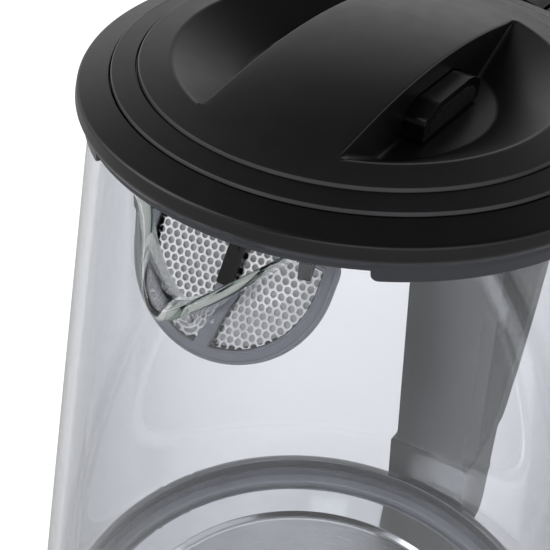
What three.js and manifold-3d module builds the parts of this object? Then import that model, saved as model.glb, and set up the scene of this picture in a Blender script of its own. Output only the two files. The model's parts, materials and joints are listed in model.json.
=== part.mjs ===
// Cordless electric kettle: a glass jug with a black lid and collar on a 360 degree power base.
// Millimetres, +Z up. The spout points to -Y and the handle to +Y. The origin is the middle of the
// power base's underside, so the table, from which the heights here are counted, lies
// BASE_COVER_Z below it. The sizes named first are set one by one; what fits to them is worked out.
import * as THREE from 'three';
import { mergeVertices } from 'three/addons/utils/BufferGeometryUtils.js';
import Module from 'manifold-3d';

const wasm = await Module();
wasm.setup();

// ---------------------------------------------------------------- driving dimensions
const GAP = 0.3;                 // clearance between two pieces that touch
const ROUND = 32;                // sides of a large round part
const MEDIUM_ROUND = 24;         // sides of a round part inside the connector and heater
const SMALL_ROUND = 12;          // sides of a screw, pin or bore

// heights above the table
const RIM_Z = 233;               // widest level of the collar
const GLASS_UNDER_RIM = 1.6;     // how far the glass's top edge lies under RIM_Z, inside the collar
const GLASS_FOOT_Z = 37;         // lower edge of the glass
const JUG_FLOOR_Z = 18.3;        // underside of the jug when it stands on its base

// glass jug
const GLASS_NECK_R = 56.85;      // outer radius at the top edge
const GLASS_FOOT_R = 81.2;       // outer radius at the lower edge
const GLASS_WALL = 3;
const SPOUT_HALF_ANGLE = 20.7;   // degrees each side of -Y
const SPOUT_REACH = 11;          // how far the lip stands out of the cone
const SPOUT_DROP = 15.2;         // how far the lip's tip lies under the top edge
const SPOUT_START = 29.4;        // where the wall begins to bend out, under the top edge
const SPOUT_DROOP = 18;          // degrees by which the tip points under the horizontal
const SPOUT_TIP_ROUND = 0.06;    // rounding of the V, as a share of its half angle
const SPOUT_FULLNESS = 1.5;      // how fast the lip narrows away from its tip

// collar, heights from RIM_Z
const COLLAR_OVERHANG = 3.15;    // how far the collar stands out of the glass's top edge
const COLLAR_SEAM_Z = 4.8;       // height of the seam between lid and collar
const COLLAR_EDGE_Z = 2.8;       // upper edge of the side band
const COLLAR_BAND_Z = -1.9;      // lower edge of the side band
const COLLAR_LOWER_Z = -2.9;     // lower edge over the spout
const COLLAR_SKIRT_Z = -5.4;     // lower edge away from the spout
const SKIRT_CUT_ANGLE = 31.5;    // degrees each side of -Y without a skirt
const COLLAR_LIP = 2.9;          // thickness of the ring inside the glass
const COLLAR_LIP_Z = -6;
const COLLAR_LEDGE = 2.4;        // width of the ledge that the lid rests on
const SEAL_HEIGHT = 1;           // rubber between glass and collar

// lid, heights from RIM_Z
const LID_CROWN_Z = 12.5;        // highest point of the lid
const LID_WALL = 2.2;
const LID_STEP_R = 47;           // radius of the step round the dome
const RECESS_TOP_R = 40.4;       // outer edge of the two finger recesses
const RECESS_TOP_Z = 7.6;
const RECESS_FLOOR_R = 27.3;
const RECESS_FLOOR_Z = 0;
const BRIDGE_HALF = 15.15;       // half width of the bridge between the recesses
const RECESS_WALL = 2;
const BUTTON_HALF_LENGTH = 12.3;
const BUTTON_LOW_Z = 0.6;
const BUTTON_HIGH_Z = 7.2;
const BUTTON_STAND = 4.6;        // how far a button stands out of the bridge
const BUTTON_TRAVEL = 4;
const BUTTON_FLANGE = 1.6;       // flange that keeps a button in its slot
const LATCH_HALF_WIDTH = 9;
const LATCH_THICK = 2.4;
const PLUG_DEPTH = 8.5;          // how far the plug reaches under RIM_Z
const PLUG_WALL = 3;
const PLUG_FLOOR = 2.2;
const SPRING_R = 2.6;            // middle radius of a button spring
const SPRING_WIRE_R = 0.45;
const SPRING_TURNS = 4;

// filter behind the spout
const FILTER_HALF_WIDTH = 21.2;
const FILTER_DROP = 20.4;        // from its centre down to the end of its round, along the slope
const FILTER_TOP = 7;            // from its centre up to its straight edge
const FILTER_TILT = 32;          // degrees from the vertical
const FILTER_BAND = 2.8;         // width of the frame's rim
const FILTER_HOLD = 1;           // how far the rim reaches over the sheet's edge
const FILTER_THICK = 1.6;
const FILTER_SET_BACK = 12.24;   // its centre's distance from the glass's wall at its foot
const FILTER_CENTRE_Z = -15.5;   // from RIM_Z
const FILTER_BAR = 3.2;          // width of the middle bar
const FILTER_EAR_FROM = 17;      // the ears that hang it from the collar, degrees from -Y
const FILTER_EAR_TO = 22;
const FILTER_EAR_LOW_Z = -12.3;  // from RIM_Z
const FILTER_EAR_THICK = 2.3;
const FILTER_EAR_REACH = 4.6;    // how far its tab reaches inside the collar's opening
const MESH_THICK = 0.5;

// foot of the jug
const BAND_WALL = 1;             // steel band
const BAND_STAND = 2.1;          // how far the band stands out of the glass's lower edge
const BAND_TOP_Z = 45;
const SHELL_WALL = 2.5;          // plastic foot shell
const SEAL_FLOOR = 1.6;          // rubber under the glass
const SEAL_UPSTAND = 6.3;        // height of the rubber inside the glass
const PLATE_THICK = 0.8;         // steel heater plate
const PLATE_TOP_Z = 38;
const PLATE_SET_BACK = 9.2;      // from the glass's lower edge in to the polished flange
const PLATE_FLANGE_WIDTH = 14;   // flange, round the brushed disc
const PLATE_CROWN = 1;           // how far the flange stands over the disc
const SPREADER_SET_BACK = 3;     // from the edge of the disc
const SPREADER_THICK = 2.5;
const ELEMENT_RING_R = 45;
const ELEMENT_R = 4;
const ELEMENT_GAP_ANGLE = 52;    // degrees of the ring left open towards the handle

// connector between jug and base
const TOWER_R = 24;
const TOWER_TOP_Z = 25.4;
const CONNECTOR_R = 31;
const CONNECTOR_TOP_Z = 30;
const CONNECTOR_PLAY = 0.6;      // radial play of the tower in the jug's recess
const BLADE_R = 13.3;            // middle radius of the ring contact
const BLADE_THICK = 1;
const CENTRE_PIN_R = 3.2;
const BLADE_REACH = 6.8;         // how far blade and pin stand into the tower
const CONTACT_SLOT_PLAY = 0.7;

// handle
const HANDLE_WIDTH = 30;
const HANDLE_DEPTH = 20;         // thickness of the grip, in its own plane
const HANDLE_TUBE_R = 2.5;        // steam tube
const HANDLE_TOP_DROP = 7;       // middle of the upper arm under RIM_Z
const STRIP_THICK = 8;
const STRIP_WIDTH = 30;
const FOOT_TOP_Z = 66;           // top of the switch housing
const FOOT_REACH = 26.7;         // how far the switch housing stands out of the steel band
const FOOT_WALL = 2.5;
const HANDLE_BEVEL = 3;

// switch
const SWITCH_PIVOT_DEPTH = 13;   // from the housing's outer face
const SWITCH_PIVOT_Z = 30;
const SWITCH_TAIL = 24.5;        // from the pivot to the tip of the tail
const SWITCH_PADDLE = 26;        // from the pivot to the end of the paddle
const TRIP_PIVOT_Y = 40;
const TRIP_PIVOT_Z = 27.4;
const PIVOT_PIN_R = 1.5;
const LEVER_THICK = 3;

// power base
const BASE_OVERHANG = 2;         // how far the base stands out beyond the jug's foot
const BASE_WALL = 2.2;
const BASE_COVER_Z = 2.3;
const BASE_COVER_THICK = 2.2;
const BASE_SHOULDER_Z = 15;
const BASE_DISH_Z = 16;
const FOOT_PAD_R = 6;
const FOOT_PAD_SET_BACK = 16;    // from the base's edge to the middle of a rubber foot
const GLAND_R = 4;
const GLAND_FLANGE = 0.5;        // how far its flange stands out inside the wall
const GLAND_BORE_R = 3.2;
const GLAND_LENGTH = 14;
const GLAND_Z = 9.3;
const GLAND_ANGLE = 90;          // degrees from +X

// screws
const SCREW_R = 1.4;
const SCREW_HEAD_R = 2.9;
const SCREW_HEAD = 1.6;
const BOSS_R = 4;

// ---------------------------------------------------------------- worked out sizes
const GLASS_TOP_Z = RIM_Z - GLASS_UNDER_RIM;
const TAPER = (GLASS_FOOT_R - GLASS_NECK_R) / (GLASS_TOP_Z - GLASS_FOOT_Z);
const TAPER_ANGLE = Math.atan(TAPER);
const COLLAR_R = GLASS_NECK_R + COLLAR_OVERHANG;
const LIP_OUTER_R = GLASS_NECK_R - GLASS_WALL / Math.cos(TAPER_ANGLE) - GAP;
const OPENING_R = LIP_OUTER_R - COLLAR_LIP;
const SEAM_R = OPENING_R + COLLAR_LEDGE;
const LEDGE_Z = 2.5;
const PLUG_R = OPENING_R - GAP;
const LID_R = SEAM_R - GAP;
const SHELL_TOP_Z = GLASS_FOOT_Z - GAP - SEAL_FLOOR - GAP - PLATE_THICK - GAP;
const BAND_R = GLASS_FOOT_R + BAND_STAND;
const SHELL_R = BAND_R - BAND_WALL - GAP;
const BASE_R = SHELL_R + BASE_OVERHANG;
const FOOT_PAD_RING_R = BASE_R - FOOT_PAD_SET_BACK;
const FOOT_Y = BAND_R + FOOT_REACH;
const SWITCH_PIVOT_Y = FOOT_Y - SWITCH_PIVOT_DEPTH;
const PLATE_FLANGE_R = GLASS_FOOT_R - PLATE_SET_BACK;
const PLATE_DISC_R = PLATE_FLANGE_R - PLATE_FLANGE_WIDTH;
const SPREADER_R = PLATE_DISC_R - SPREADER_SET_BACK;
const SHELL_FLOOR_Z = JUG_FLOOR_Z + SHELL_WALL;
const RECESS_TOP_INSIDE_Z = TOWER_TOP_Z + GAP;
const LATCH_TOP_Z = RECESS_FLOOR_Z - RECESS_WALL - 1;
const LATCH_LOW_Z = LATCH_TOP_Z - LATCH_THICK;
const PLUG_FLOOR_Z = -PLUG_DEPTH + PLUG_FLOOR;

const radians = (degrees) => degrees * Math.PI / 180;
const glassRadius = (z) => GLASS_NECK_R + (GLASS_TOP_Z - z) * TAPER;
const glassInnerRadius = (z) => glassRadius(z) - GLASS_WALL / Math.cos(TAPER_ANGLE);
const FILTER_FOOT_Z = RIM_Z + FILTER_CENTRE_Z - FILTER_DROP * Math.cos(radians(FILTER_TILT));
const FILTER_CENTRE_Y = FILTER_SET_BACK - glassInnerRadius(FILTER_FOOT_Z);

// ---------------------------------------------------------------- materials
function material(color, roughness, metalness, extra = {}) {
  return new THREE.MeshStandardMaterial({ color, roughness, metalness, ...extra });
}
const BLACK = material(0x1b1b1d, 0.42, 0);
const SLATE = material(0x7f8694, 0.5, 0);
const CLEAR = material(0xe6ecea, 0.02, 0, { transparent: true, opacity: 0.3 });
const STEEL = material(0xc9ccd0, 0.28, 1);
const POLISHED = material(0xdadcdf, 0.12, 1);
const RUBBER = material(0x2a2b2e, 0.8, 0);
const SILICONE = material(0x9fa4ab, 0.6, 0);
const ALUMINIUM = material(0xb9bcc0, 0.4, 1);
const BRASS = material(0xc4a24c, 0.3, 1);
const NYLON = material(0xd8d6cd, 0.55, 0);

// ---------------------------------------------------------------- solids
// A closed three.js geometry becomes a solid; triangles without an area are left out.
function solid(geometry) {
  const bare = geometry.clone();
  bare.deleteAttribute('normal');
  bare.deleteAttribute('uv');
  const merged = mergeVertices(bare, 1e-4);
  const index = Array.from(merged.index.array);
  const kept = [];
  for (let i = 0; i < index.length; i += 3) {
    const [a, b, c] = index.slice(i, i + 3);
    if (a !== b && b !== c && a !== c) kept.push(a, b, c);
  }
  const position = merged.attributes.position;
  if (signedVolume(position, kept) < 0) kept.reverse();
  return new wasm.Manifold(new wasm.Mesh({
    numProp: 3,
    vertProperties: new Float32Array(position.array),
    triVerts: new Uint32Array(kept),
  }));
}

function signedVolume(position, index) {
  const [a, b, c] = [new THREE.Vector3(), new THREE.Vector3(), new THREE.Vector3()];
  let sum = 0;
  for (let i = 0; i < index.length; i += 3) {
    a.fromBufferAttribute(position, index[i]);
    b.fromBufferAttribute(position, index[i + 1]);
    c.fromBufferAttribute(position, index[i + 2]);
    sum += a.dot(b.cross(c));
  }
  return sum;
}

function geometryOf(manifold) {
  const mesh = manifold.getMesh();
  const points = [];
  for (let i = 0; i < mesh.numVert; i += 1) {
    const at = i * mesh.numProp;
    points.push(...mesh.vertProperties.slice(at, at + 3));
  }
  const geometry = new THREE.BufferGeometry();
  geometry.setAttribute('position', new THREE.Float32BufferAttribute(points, 3));
  geometry.setIndex(Array.from(mesh.triVerts));
  geometry.computeVertexNormals();
  return geometry;
}

// A closed [radius, height] outline turned round the Z axis.
function turned(outline, sides = ROUND) {
  const points = outline.map(([r, z]) => new THREE.Vector2(r, z));
  if (outline[0][0] !== 0 || outline.at(-1)[0] !== 0) points.push(points[0].clone());
  return solid(new THREE.LatheGeometry(points, sides).rotateX(Math.PI / 2));
}

const disc = (r, z0, z1, sides = ROUND) => turned([[0, z0], [r, z0], [r, z1], [0, z1]], sides);
const ring = (r0, r1, z0, z1, sides = ROUND) => (
  turned([[r0, z0], [r1, z0], [r1, z1], [r0, z1]], sides)
);

function rod(radius, from, to, sides = SMALL_ROUND) {
  const a = new THREE.Vector3(...from);
  const b = new THREE.Vector3(...to);
  const geometry = new THREE.CylinderGeometry(radius, radius, a.distanceTo(b), sides);
  const turn = new THREE.Quaternion().setFromUnitVectors(
    new THREE.Vector3(0, 1, 0), b.clone().sub(a).normalize());
  geometry.applyQuaternion(turn);
  geometry.translate(...a.add(b).multiplyScalar(0.5).toArray());
  return solid(geometry);
}

function block([x0, x1], [y0, y1], [z0, z1]) {
  const geometry = new THREE.BoxGeometry(x1 - x0, y1 - y0, z1 - z0);
  return solid(geometry.translate((x0 + x1) / 2, (y0 + y1) / 2, (z0 + z1) / 2));
}

// A [y, z] outline given its width along X, with rounded edges where a bevel is asked for.
function sideProfile(outline, width, bevel = 0, middle = 0) {
  const shape = new THREE.Shape(outline.map(([y, z]) => new THREE.Vector2(y, z)));
  const geometry = new THREE.ExtrudeGeometry(shape, {
    depth: width - 2 * bevel,
    bevelEnabled: bevel > 0,
    bevelThickness: bevel,
    bevelSize: bevel,
    bevelOffset: -bevel,
    bevelSegments: 1,
  });
  geometry.translate(0, 0, bevel - width / 2);
  geometry.applyMatrix4(new THREE.Matrix4().set(
    0, 0, 1, middle,
    1, 0, 0, 0,
    0, 1, 0, 0,
    0, 0, 0, 1));
  return solid(geometry);
}

// A [x, y] outline given its height along Z.
function plate(outline, z0, z1, holes = []) {
  const shape = new THREE.Shape(outline.map(([x, y]) => new THREE.Vector2(x, y)));
  holes.forEach((hole) => {
    shape.holes.push(new THREE.Path(hole.map(([x, y]) => new THREE.Vector2(x, y))));
  });
  const geometry = new THREE.ExtrudeGeometry(shape, { depth: z1 - z0, bevelEnabled: false });
  return solid(geometry.translate(0, 0, z0));
}

// A round tube or wire along a curve.
function sweep(curve, radius, sides, steps) {
  const circle = new THREE.Shape().absarc(0, 0, radius, 0, 2 * Math.PI, false);
  const outline = circle.getSpacedPoints(sides).slice(0, sides);
  const geometry = new THREE.ExtrudeGeometry(new THREE.Shape(outline), {
    steps, extrudePath: curve, bevelEnabled: false,
  });
  return solid(geometry);
}

const placed = (manifold, matrix) => solid(geometryOf(manifold).applyMatrix4(matrix));
const moved = (manifold, x, y, z) => (
  placed(manifold, new THREE.Matrix4().makeTranslation(x, y, z))
);
const mirrored = (manifold) => placed(manifold, new THREE.Matrix4().makeScale(-1, 1, 1));
const joined = (manifolds) => manifolds.reduce((whole, piece) => whole.add(piece));

// ---------------------------------------------------------------- scene graph
const kettle = new THREE.Group();
const powerBase = new THREE.Group();
const connector = new THREE.Group();
const jug = new THREE.Group();
const neck = new THREE.Group();
const lid = new THREE.Group();
const handle = new THREE.Group();
kettle.position.z = -BASE_COVER_Z;
neck.position.z = RIM_Z;
lid.position.z = RIM_Z;
jug.add(neck, handle);
kettle.add(powerBase, connector, jug, lid);

function add(group, name, manifold, look) {
  const mesh = new THREE.Mesh(geometryOf(manifold), look);
  mesh.name = name;
  group.add(mesh);
  return mesh;
}

// A screw whose head's underside is at the mesh's own origin and whose shank points up.
function addScrew(group, name, length, [x, y, z]) {
  const head = disc(SCREW_HEAD_R, -SCREW_HEAD, 0, SMALL_ROUND);
  const shank = disc(SCREW_R, -0.2, length, SMALL_ROUND);
  const mesh = add(group, name, head.add(shank), STEEL);
  mesh.position.set(x, y, z);
  return mesh;
}

// The hole that addScrew's screw needs, with its head let into the surface.
function screwHole(length, headDepth, [x, y, z]) {
  const shank = disc(SCREW_R + GAP, -0.1, length + 2 * GAP, SMALL_ROUND);
  const head = disc(SCREW_HEAD_R + GAP, -headDepth, GAP, SMALL_ROUND);
  return moved(shank.add(head), x, y, z);
}

// ---------------------------------------------------------------- glass jug
// The wall's outer and inner [radius, height] line at an angle from the spout, foot to rim.
function glassSection(angle) {
  const away = Math.abs(angle) / SPOUT_HALF_ANGLE;
  const swell = (0.5 + 0.5 * Math.cos(Math.PI * Math.min(away, 1))) ** SPOUT_FULLNESS;
  const k = SPOUT_TIP_ROUND;
  const vee = Math.max(0, 1 - (Math.hypot(away, k) - k) / (Math.hypot(1, k) - k));
  const rimZ = GLASS_TOP_Z - SPOUT_DROP * vee;
  const startZ = GLASS_TOP_Z - SPOUT_START;
  const up = Math.PI / 2 + TAPER_ANGLE;
  const heading = up - (up + radians(SPOUT_DROOP)) * swell ** 0.8;
  const pull = 3 + 3.5 * swell;
  const rimR = glassRadius(rimZ) + SPOUT_REACH * swell;
  const rise = (rimZ - startZ) * 0.62;
  const bend = new THREE.CubicBezierCurve(
    new THREE.Vector2(glassRadius(startZ), startZ),
    new THREE.Vector2(glassRadius(startZ) - TAPER * rise, startZ + rise),
    new THREE.Vector2(rimR - pull * Math.cos(heading), rimZ - pull * Math.sin(heading)),
    new THREE.Vector2(rimR, rimZ));
  const steps = 6;
  const outer = [GLASS_FOOT_Z, (GLASS_FOOT_Z + startZ) / 2].map((z) => [glassRadius(z), z]);
  const inner = outer.map(([r, z]) => [r - GLASS_WALL / Math.cos(TAPER_ANGLE), z]);
  for (let i = 0; i <= steps; i += 1) {
    const point = bend.getPoint(i / steps);
    const along = bend.getTangent(i / steps);
    outer.push([point.x, point.y]);
    inner.push([point.x - GLASS_WALL * along.y, point.y + GLASS_WALL * along.x]);
  }
  return [...outer, ...inner.reverse()];
}

function glassWall() {
  const step = 360 / ROUND;
  const fine = 3 * step;
  const angles = [];
  for (let i = 0; i < ROUND; i += 1) {
    const angle = i * step - 180;
    const parts = angle >= -fine && angle < fine ? 3 : 1;
    for (let j = 0; j < parts; j += 1) angles.push(angle + (j * step) / parts);
  }
  // Under the spout the wall keeps to the flat sides of the rounds that fit to it.
  const flatSide = (angle) => {
    const fromMiddle = ((angle + 180) % step) - step / 2;
    return Math.cos(radians(step / 2)) / Math.cos(radians(fromMiddle));
  };
  const spoutStartZ = GLASS_TOP_Z - SPOUT_START;
  const points = [];
  const index = [];
  const sections = angles.map((angle) => glassSection(angle).map(([r, z]) => (
    [z < spoutStartZ ? r * flatSide(angle) : r, z]
  )));
  const rows = sections[0].length;
  sections.forEach((section, column) => {
    const turn = radians(angles[column]);
    section.forEach(([r, z]) => points.push(r * Math.sin(turn), -r * Math.cos(turn), z));
    const here = column * rows;
    const next = ((column + 1) % angles.length) * rows;
    for (let row = 0; row < rows; row += 1) {
      const above = (row + 1) % rows;
      index.push(here + row, next + row, next + above, here + row, next + above, here + above);
    }
  });
  const geometry = new THREE.BufferGeometry();
  geometry.setAttribute('position', new THREE.Float32BufferAttribute(points, 3));
  geometry.setIndex(index);
  return solid(geometry);
}
add(jug, 'glass_jug', glassWall(), CLEAR);

// ---------------------------------------------------------------- collar, heights from RIM_Z
const CHANNEL_TOP_Z = GLASS_TOP_Z - RIM_Z + GAP + SEAL_HEIGHT + GAP;
const STEAM_SLOT_LOW_Z = CHANNEL_TOP_Z - 0.4;
const STEAM_SLOT_TOP_Z = 1.8;
const STEAM_SLOT_HALF = 6;
const LUG_INNER_X = STEAM_SLOT_HALF + 0.4;
const LUG_WIDTH = 6;
const LUG_END_Y = COLLAR_R + 14;
const LUG_LOW_Z = -3.2;
const LUG_THICK = 4;
const LUG_SCREW_X = LUG_INNER_X + LUG_WIDTH / 2;
const LUG_SCREW_Y = COLLAR_R + 9;
const HANDLE_SCREW_Z = -12;      // underside of the heads, from RIM_Z
const HANDLE_SCREW_LENGTH = 12;

// Part of a ring between two angles from the spout, in degrees.
function sector(r0, r1, from, to, z0, z1) {
  const steps = Math.ceil(Math.abs(to - from) / 4);
  const arc = (r) => Array.from({ length: steps + 1 }, (_, i) => {
    const angle = radians(from + ((to - from) * i) / steps);
    return [r * Math.sin(angle), -r * Math.cos(angle)];
  });
  return plate([...arc(r0), ...arc(r1).reverse()], z0, z1);
}

function collar() {
  const skirtInnerR = glassRadius(RIM_Z + COLLAR_SKIRT_Z) + GAP;
  const body = turned([
    [SEAM_R, COLLAR_SEAM_Z],
    [COLLAR_R - 0.3, COLLAR_EDGE_Z],
    [COLLAR_R, 0],
    [COLLAR_R - 1.2, COLLAR_BAND_Z],
    [COLLAR_R - 1.3, COLLAR_LOWER_Z],
    [COLLAR_R - 1.5, COLLAR_SKIRT_Z],
    [skirtInnerR, COLLAR_SKIRT_Z],
    [glassRadius(GLASS_TOP_Z) + GAP, CHANNEL_TOP_Z],
    [LIP_OUTER_R, CHANNEL_TOP_Z],
    [LIP_OUTER_R, COLLAR_LIP_Z],
    [OPENING_R, COLLAR_LIP_Z],
    [OPENING_R, LEDGE_Z],
    [SEAM_R, LEDGE_Z],
  ]);
  const lug = block(
    [LUG_INNER_X, LUG_INNER_X + LUG_WIDTH],
    [COLLAR_R - 2, LUG_END_Y],
    [LUG_LOW_Z, LUG_LOW_Z + LUG_THICK]);
  const lugHole = disc(SCREW_R + GAP, LUG_LOW_Z - 1, LUG_LOW_Z + LUG_THICK + 1, SMALL_ROUND);
  const holed = lug.subtract(moved(lugHole, LUG_SCREW_X, LUG_SCREW_Y, 0));
  const skirtCut = sector(LIP_OUTER_R + 0.5, COLLAR_R + 3, -SKIRT_CUT_ANGLE, SKIRT_CUT_ANGLE,
    COLLAR_SKIRT_Z - 1, COLLAR_LOWER_Z);
  const steamSlot = block([-STEAM_SLOT_HALF, STEAM_SLOT_HALF], [OPENING_R - 2, COLLAR_R + 2],
    [STEAM_SLOT_LOW_Z, STEAM_SLOT_TOP_Z]);
  const catchSlot = block([OPENING_R - 2, OPENING_R + 1.7],
    [-LATCH_HALF_WIDTH - 0.6, LATCH_HALF_WIDTH + 0.6], [LATCH_LOW_Z - 0.3, LATCH_TOP_Z + 0.6]);
  return joined([body, holed, mirrored(holed)])
    .subtract(skirtCut)
    .subtract(steamSlot)
    .subtract(catchSlot)
    .subtract(mirrored(catchSlot));
}
add(neck, 'collar', collar(), BLACK);

const sealLowZ = GLASS_TOP_Z - RIM_Z + GAP;
add(neck, 'collar_seal',
  ring(LIP_OUTER_R + GAP, GLASS_NECK_R, sealLowZ, sealLowZ + SEAL_HEIGHT), RUBBER);

// ---------------------------------------------------------------- filter
// Built lying down: +Y points up the slope, +Z out through the spout.
function filterOutline(inward) {
  const halfWidth = FILTER_HALF_WIDTH - inward;
  const drop = FILTER_DROP - inward;
  const top = FILTER_TOP - inward;
  const count = 24;
  const round = Array.from({ length: count + 1 }, (_, i) => {
    const angle = Math.PI * (1 + i / count);
    return [halfWidth * Math.cos(angle), drop * Math.sin(angle)];
  });
  return [[-halfWidth, top], ...round, [halfWidth, top]];
}

const filter = new THREE.Group();
filter.position.set(0, FILTER_CENTRE_Y, FILTER_CENTRE_Z);
filter.rotation.x = radians(90 - FILTER_TILT);
filter.updateMatrix();
neck.add(filter);
const meshHalf = MESH_THICK / 2;
const meshInward = FILTER_BAND - FILTER_HOLD;

function filterEar() {
  const upright = sector(OPENING_R + GAP, LIP_OUTER_R, FILTER_EAR_FROM, FILTER_EAR_TO,
    FILTER_EAR_LOW_Z, COLLAR_LIP_Z - GAP);
  const tab = sector(OPENING_R - FILTER_EAR_REACH, LIP_OUTER_R, FILTER_EAR_FROM, FILTER_EAR_TO,
    FILTER_EAR_LOW_Z, FILTER_EAR_LOW_Z + FILTER_EAR_THICK);
  return placed(upright.add(tab), filter.matrix.clone().invert());
}

function filterFrame() {
  const half = FILTER_THICK / 2;
  const body = plate(filterOutline(0), -half, half, [filterOutline(FILTER_BAND).reverse()]);
  const groove = plate(filterOutline(meshInward - GAP), -meshHalf - GAP, meshHalf + GAP);
  const bar = (z0, z1) => block([-FILTER_BAR / 2, FILTER_BAR / 2],
    [meshInward - FILTER_DROP, FILTER_TOP - meshInward], [z0, z1]);
  const bars = bar(meshHalf + GAP, half + 0.2).add(bar(-half - 0.2, -meshHalf - GAP));
  const ear = filterEar();
  return joined([body, ear, mirrored(ear)]).subtract(groove).add(bars);
}
add(filter, 'filter_frame', filterFrame(), SLATE);
add(filter, 'filter_mesh', plate(filterOutline(meshInward), -meshHalf, meshHalf), STEEL);

// ---------------------------------------------------------------- foot of the jug
const FLANGE_TOP_Z = GLASS_FOOT_Z - GAP - SEAL_FLOOR - GAP;
const FLANGE_LOW_Z = FLANGE_TOP_Z - PLATE_THICK;
const PLATE_LOW_Z = PLATE_TOP_Z - PLATE_THICK;
const PLATE_STEP_R = PLATE_FLANGE_R + 0.8;
const FOOT_SCREW_R = PLATE_FLANGE_R - 8;  // pitch radius of the screws under the jug
const FOOT_SCREW_Z = JUG_FLOOR_Z + 1.9;
const FOOT_SCREW_LENGTH = 9;
const STUD_LOW_Z = SHELL_FLOOR_Z + 3.2;
const threeRound = [30, 150, 270];

function roundAt(radius, degrees, z = 0) {
  return [radius * Math.cos(radians(degrees)), radius * Math.sin(radians(degrees)), z];
}

function heaterPlate() {
  const top = [
    [0, PLATE_TOP_Z],
    [PLATE_DISC_R, PLATE_TOP_Z],
    [PLATE_DISC_R + 1.5, PLATE_TOP_Z + PLATE_CROWN],
    [PLATE_FLANGE_R - 1.5, PLATE_TOP_Z + PLATE_CROWN],
    [PLATE_FLANGE_R, PLATE_TOP_Z + PLATE_CROWN - 0.8],
    [PLATE_STEP_R, FLANGE_TOP_Z],
    [GLASS_FOOT_R + GAP, FLANGE_TOP_Z],
  ];
  const t = PLATE_THICK;
  const underside = [
    [GLASS_FOOT_R + GAP, FLANGE_LOW_Z],
    [PLATE_STEP_R - 0.7, FLANGE_LOW_Z],
    [PLATE_FLANGE_R - 0.8, PLATE_TOP_Z + PLATE_CROWN - 1.4],
    [PLATE_FLANGE_R - 1.8, PLATE_TOP_Z + PLATE_CROWN - t],
    [PLATE_DISC_R + 1.8, PLATE_TOP_Z + PLATE_CROWN - t],
    [PLATE_DISC_R + 0.3, PLATE_LOW_Z],
    [0, PLATE_LOW_Z],
  ];
  const studs = threeRound.map((angle) => {
    const [x, y] = roundAt(FOOT_SCREW_R, angle);
    const post = disc(SCREW_R + GAP + 1.2, STUD_LOW_Z, PLATE_TOP_Z + 0.5, SMALL_ROUND);
    const bore = disc(SCREW_R + GAP, STUD_LOW_Z - 1, PLATE_TOP_Z - 3, SMALL_ROUND);
    return moved(post.subtract(bore), x, y, 0);
  });
  return joined([turned([...top, ...underside]), ...studs]);
}
add(jug, 'heater_plate', heaterPlate(), POLISHED);

const upstandZ = GLASS_FOOT_Z - GAP + SEAL_UPSTAND;
add(jug, 'glass_seal', turned([
  [PLATE_STEP_R + 0.4, FLANGE_TOP_Z + GAP],
  [GLASS_FOOT_R, FLANGE_TOP_Z + GAP],
  [GLASS_FOOT_R, GLASS_FOOT_Z - GAP],
  [glassInnerRadius(GLASS_FOOT_Z) - GAP, GLASS_FOOT_Z - GAP],
  [glassInnerRadius(upstandZ) - GAP, upstandZ],
  [glassInnerRadius(upstandZ) - GAP - 2.2, upstandZ],
  [PLATE_STEP_R + 0.4, upstandZ - 1.5],
]), SILICONE);

// The window through which the switch reaches into the foot.
const windowCut = block([-5, 5], [SHELL_R - 6, BAND_R + 4], [SHELL_FLOOR_Z + 1.2, SHELL_TOP_Z - 1.5]);
const FOOT_SIDE_SCREW_X = 10;
const FOOT_SIDE_SCREW_Z = 27;
const FOOT_SIDE_SCREW_Y = SHELL_R - SHELL_WALL - 1.8;
const FOOT_SIDE_SCREW_LENGTH = 12;
const sideScrewCut = placed(
  disc(SCREW_R + GAP, 0, FOOT_SIDE_SCREW_LENGTH + 2 * GAP, SMALL_ROUND),
  new THREE.Matrix4().makeTranslation(FOOT_SIDE_SCREW_X, FOOT_SIDE_SCREW_Y, FOOT_SIDE_SCREW_Z)
    .multiply(new THREE.Matrix4().makeRotationX(-Math.PI / 2)));
const footCuts = joined([windowCut, sideScrewCut, mirrored(sideScrewCut)]);

const band = turned([
  [BAND_R - BAND_WALL, JUG_FLOOR_Z + 2],
  [BAND_R, JUG_FLOOR_Z + 2],
  [BAND_R, BAND_TOP_Z - 0.6],
  [BAND_R - 0.6, BAND_TOP_Z],
  [glassRadius(BAND_TOP_Z) + GAP, BAND_TOP_Z],
  [glassRadius(BAND_TOP_Z - 0.8) + GAP, BAND_TOP_Z - 0.8],
  [BAND_R - BAND_WALL, BAND_TOP_Z - 0.8],
]);
add(jug, 'base_band', band.subtract(footCuts), STEEL);

const TRIP_EAR_X = 4.3;
const TRIP_EAR_THICK = 2.5;
const TRIP_PIN_HALF = TRIP_EAR_X + TRIP_EAR_THICK - 0.2;
const pivotHole = (y, z, half) => rod(PIVOT_PIN_R + GAP, [-half, y, z], [half, y, z]);

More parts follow.
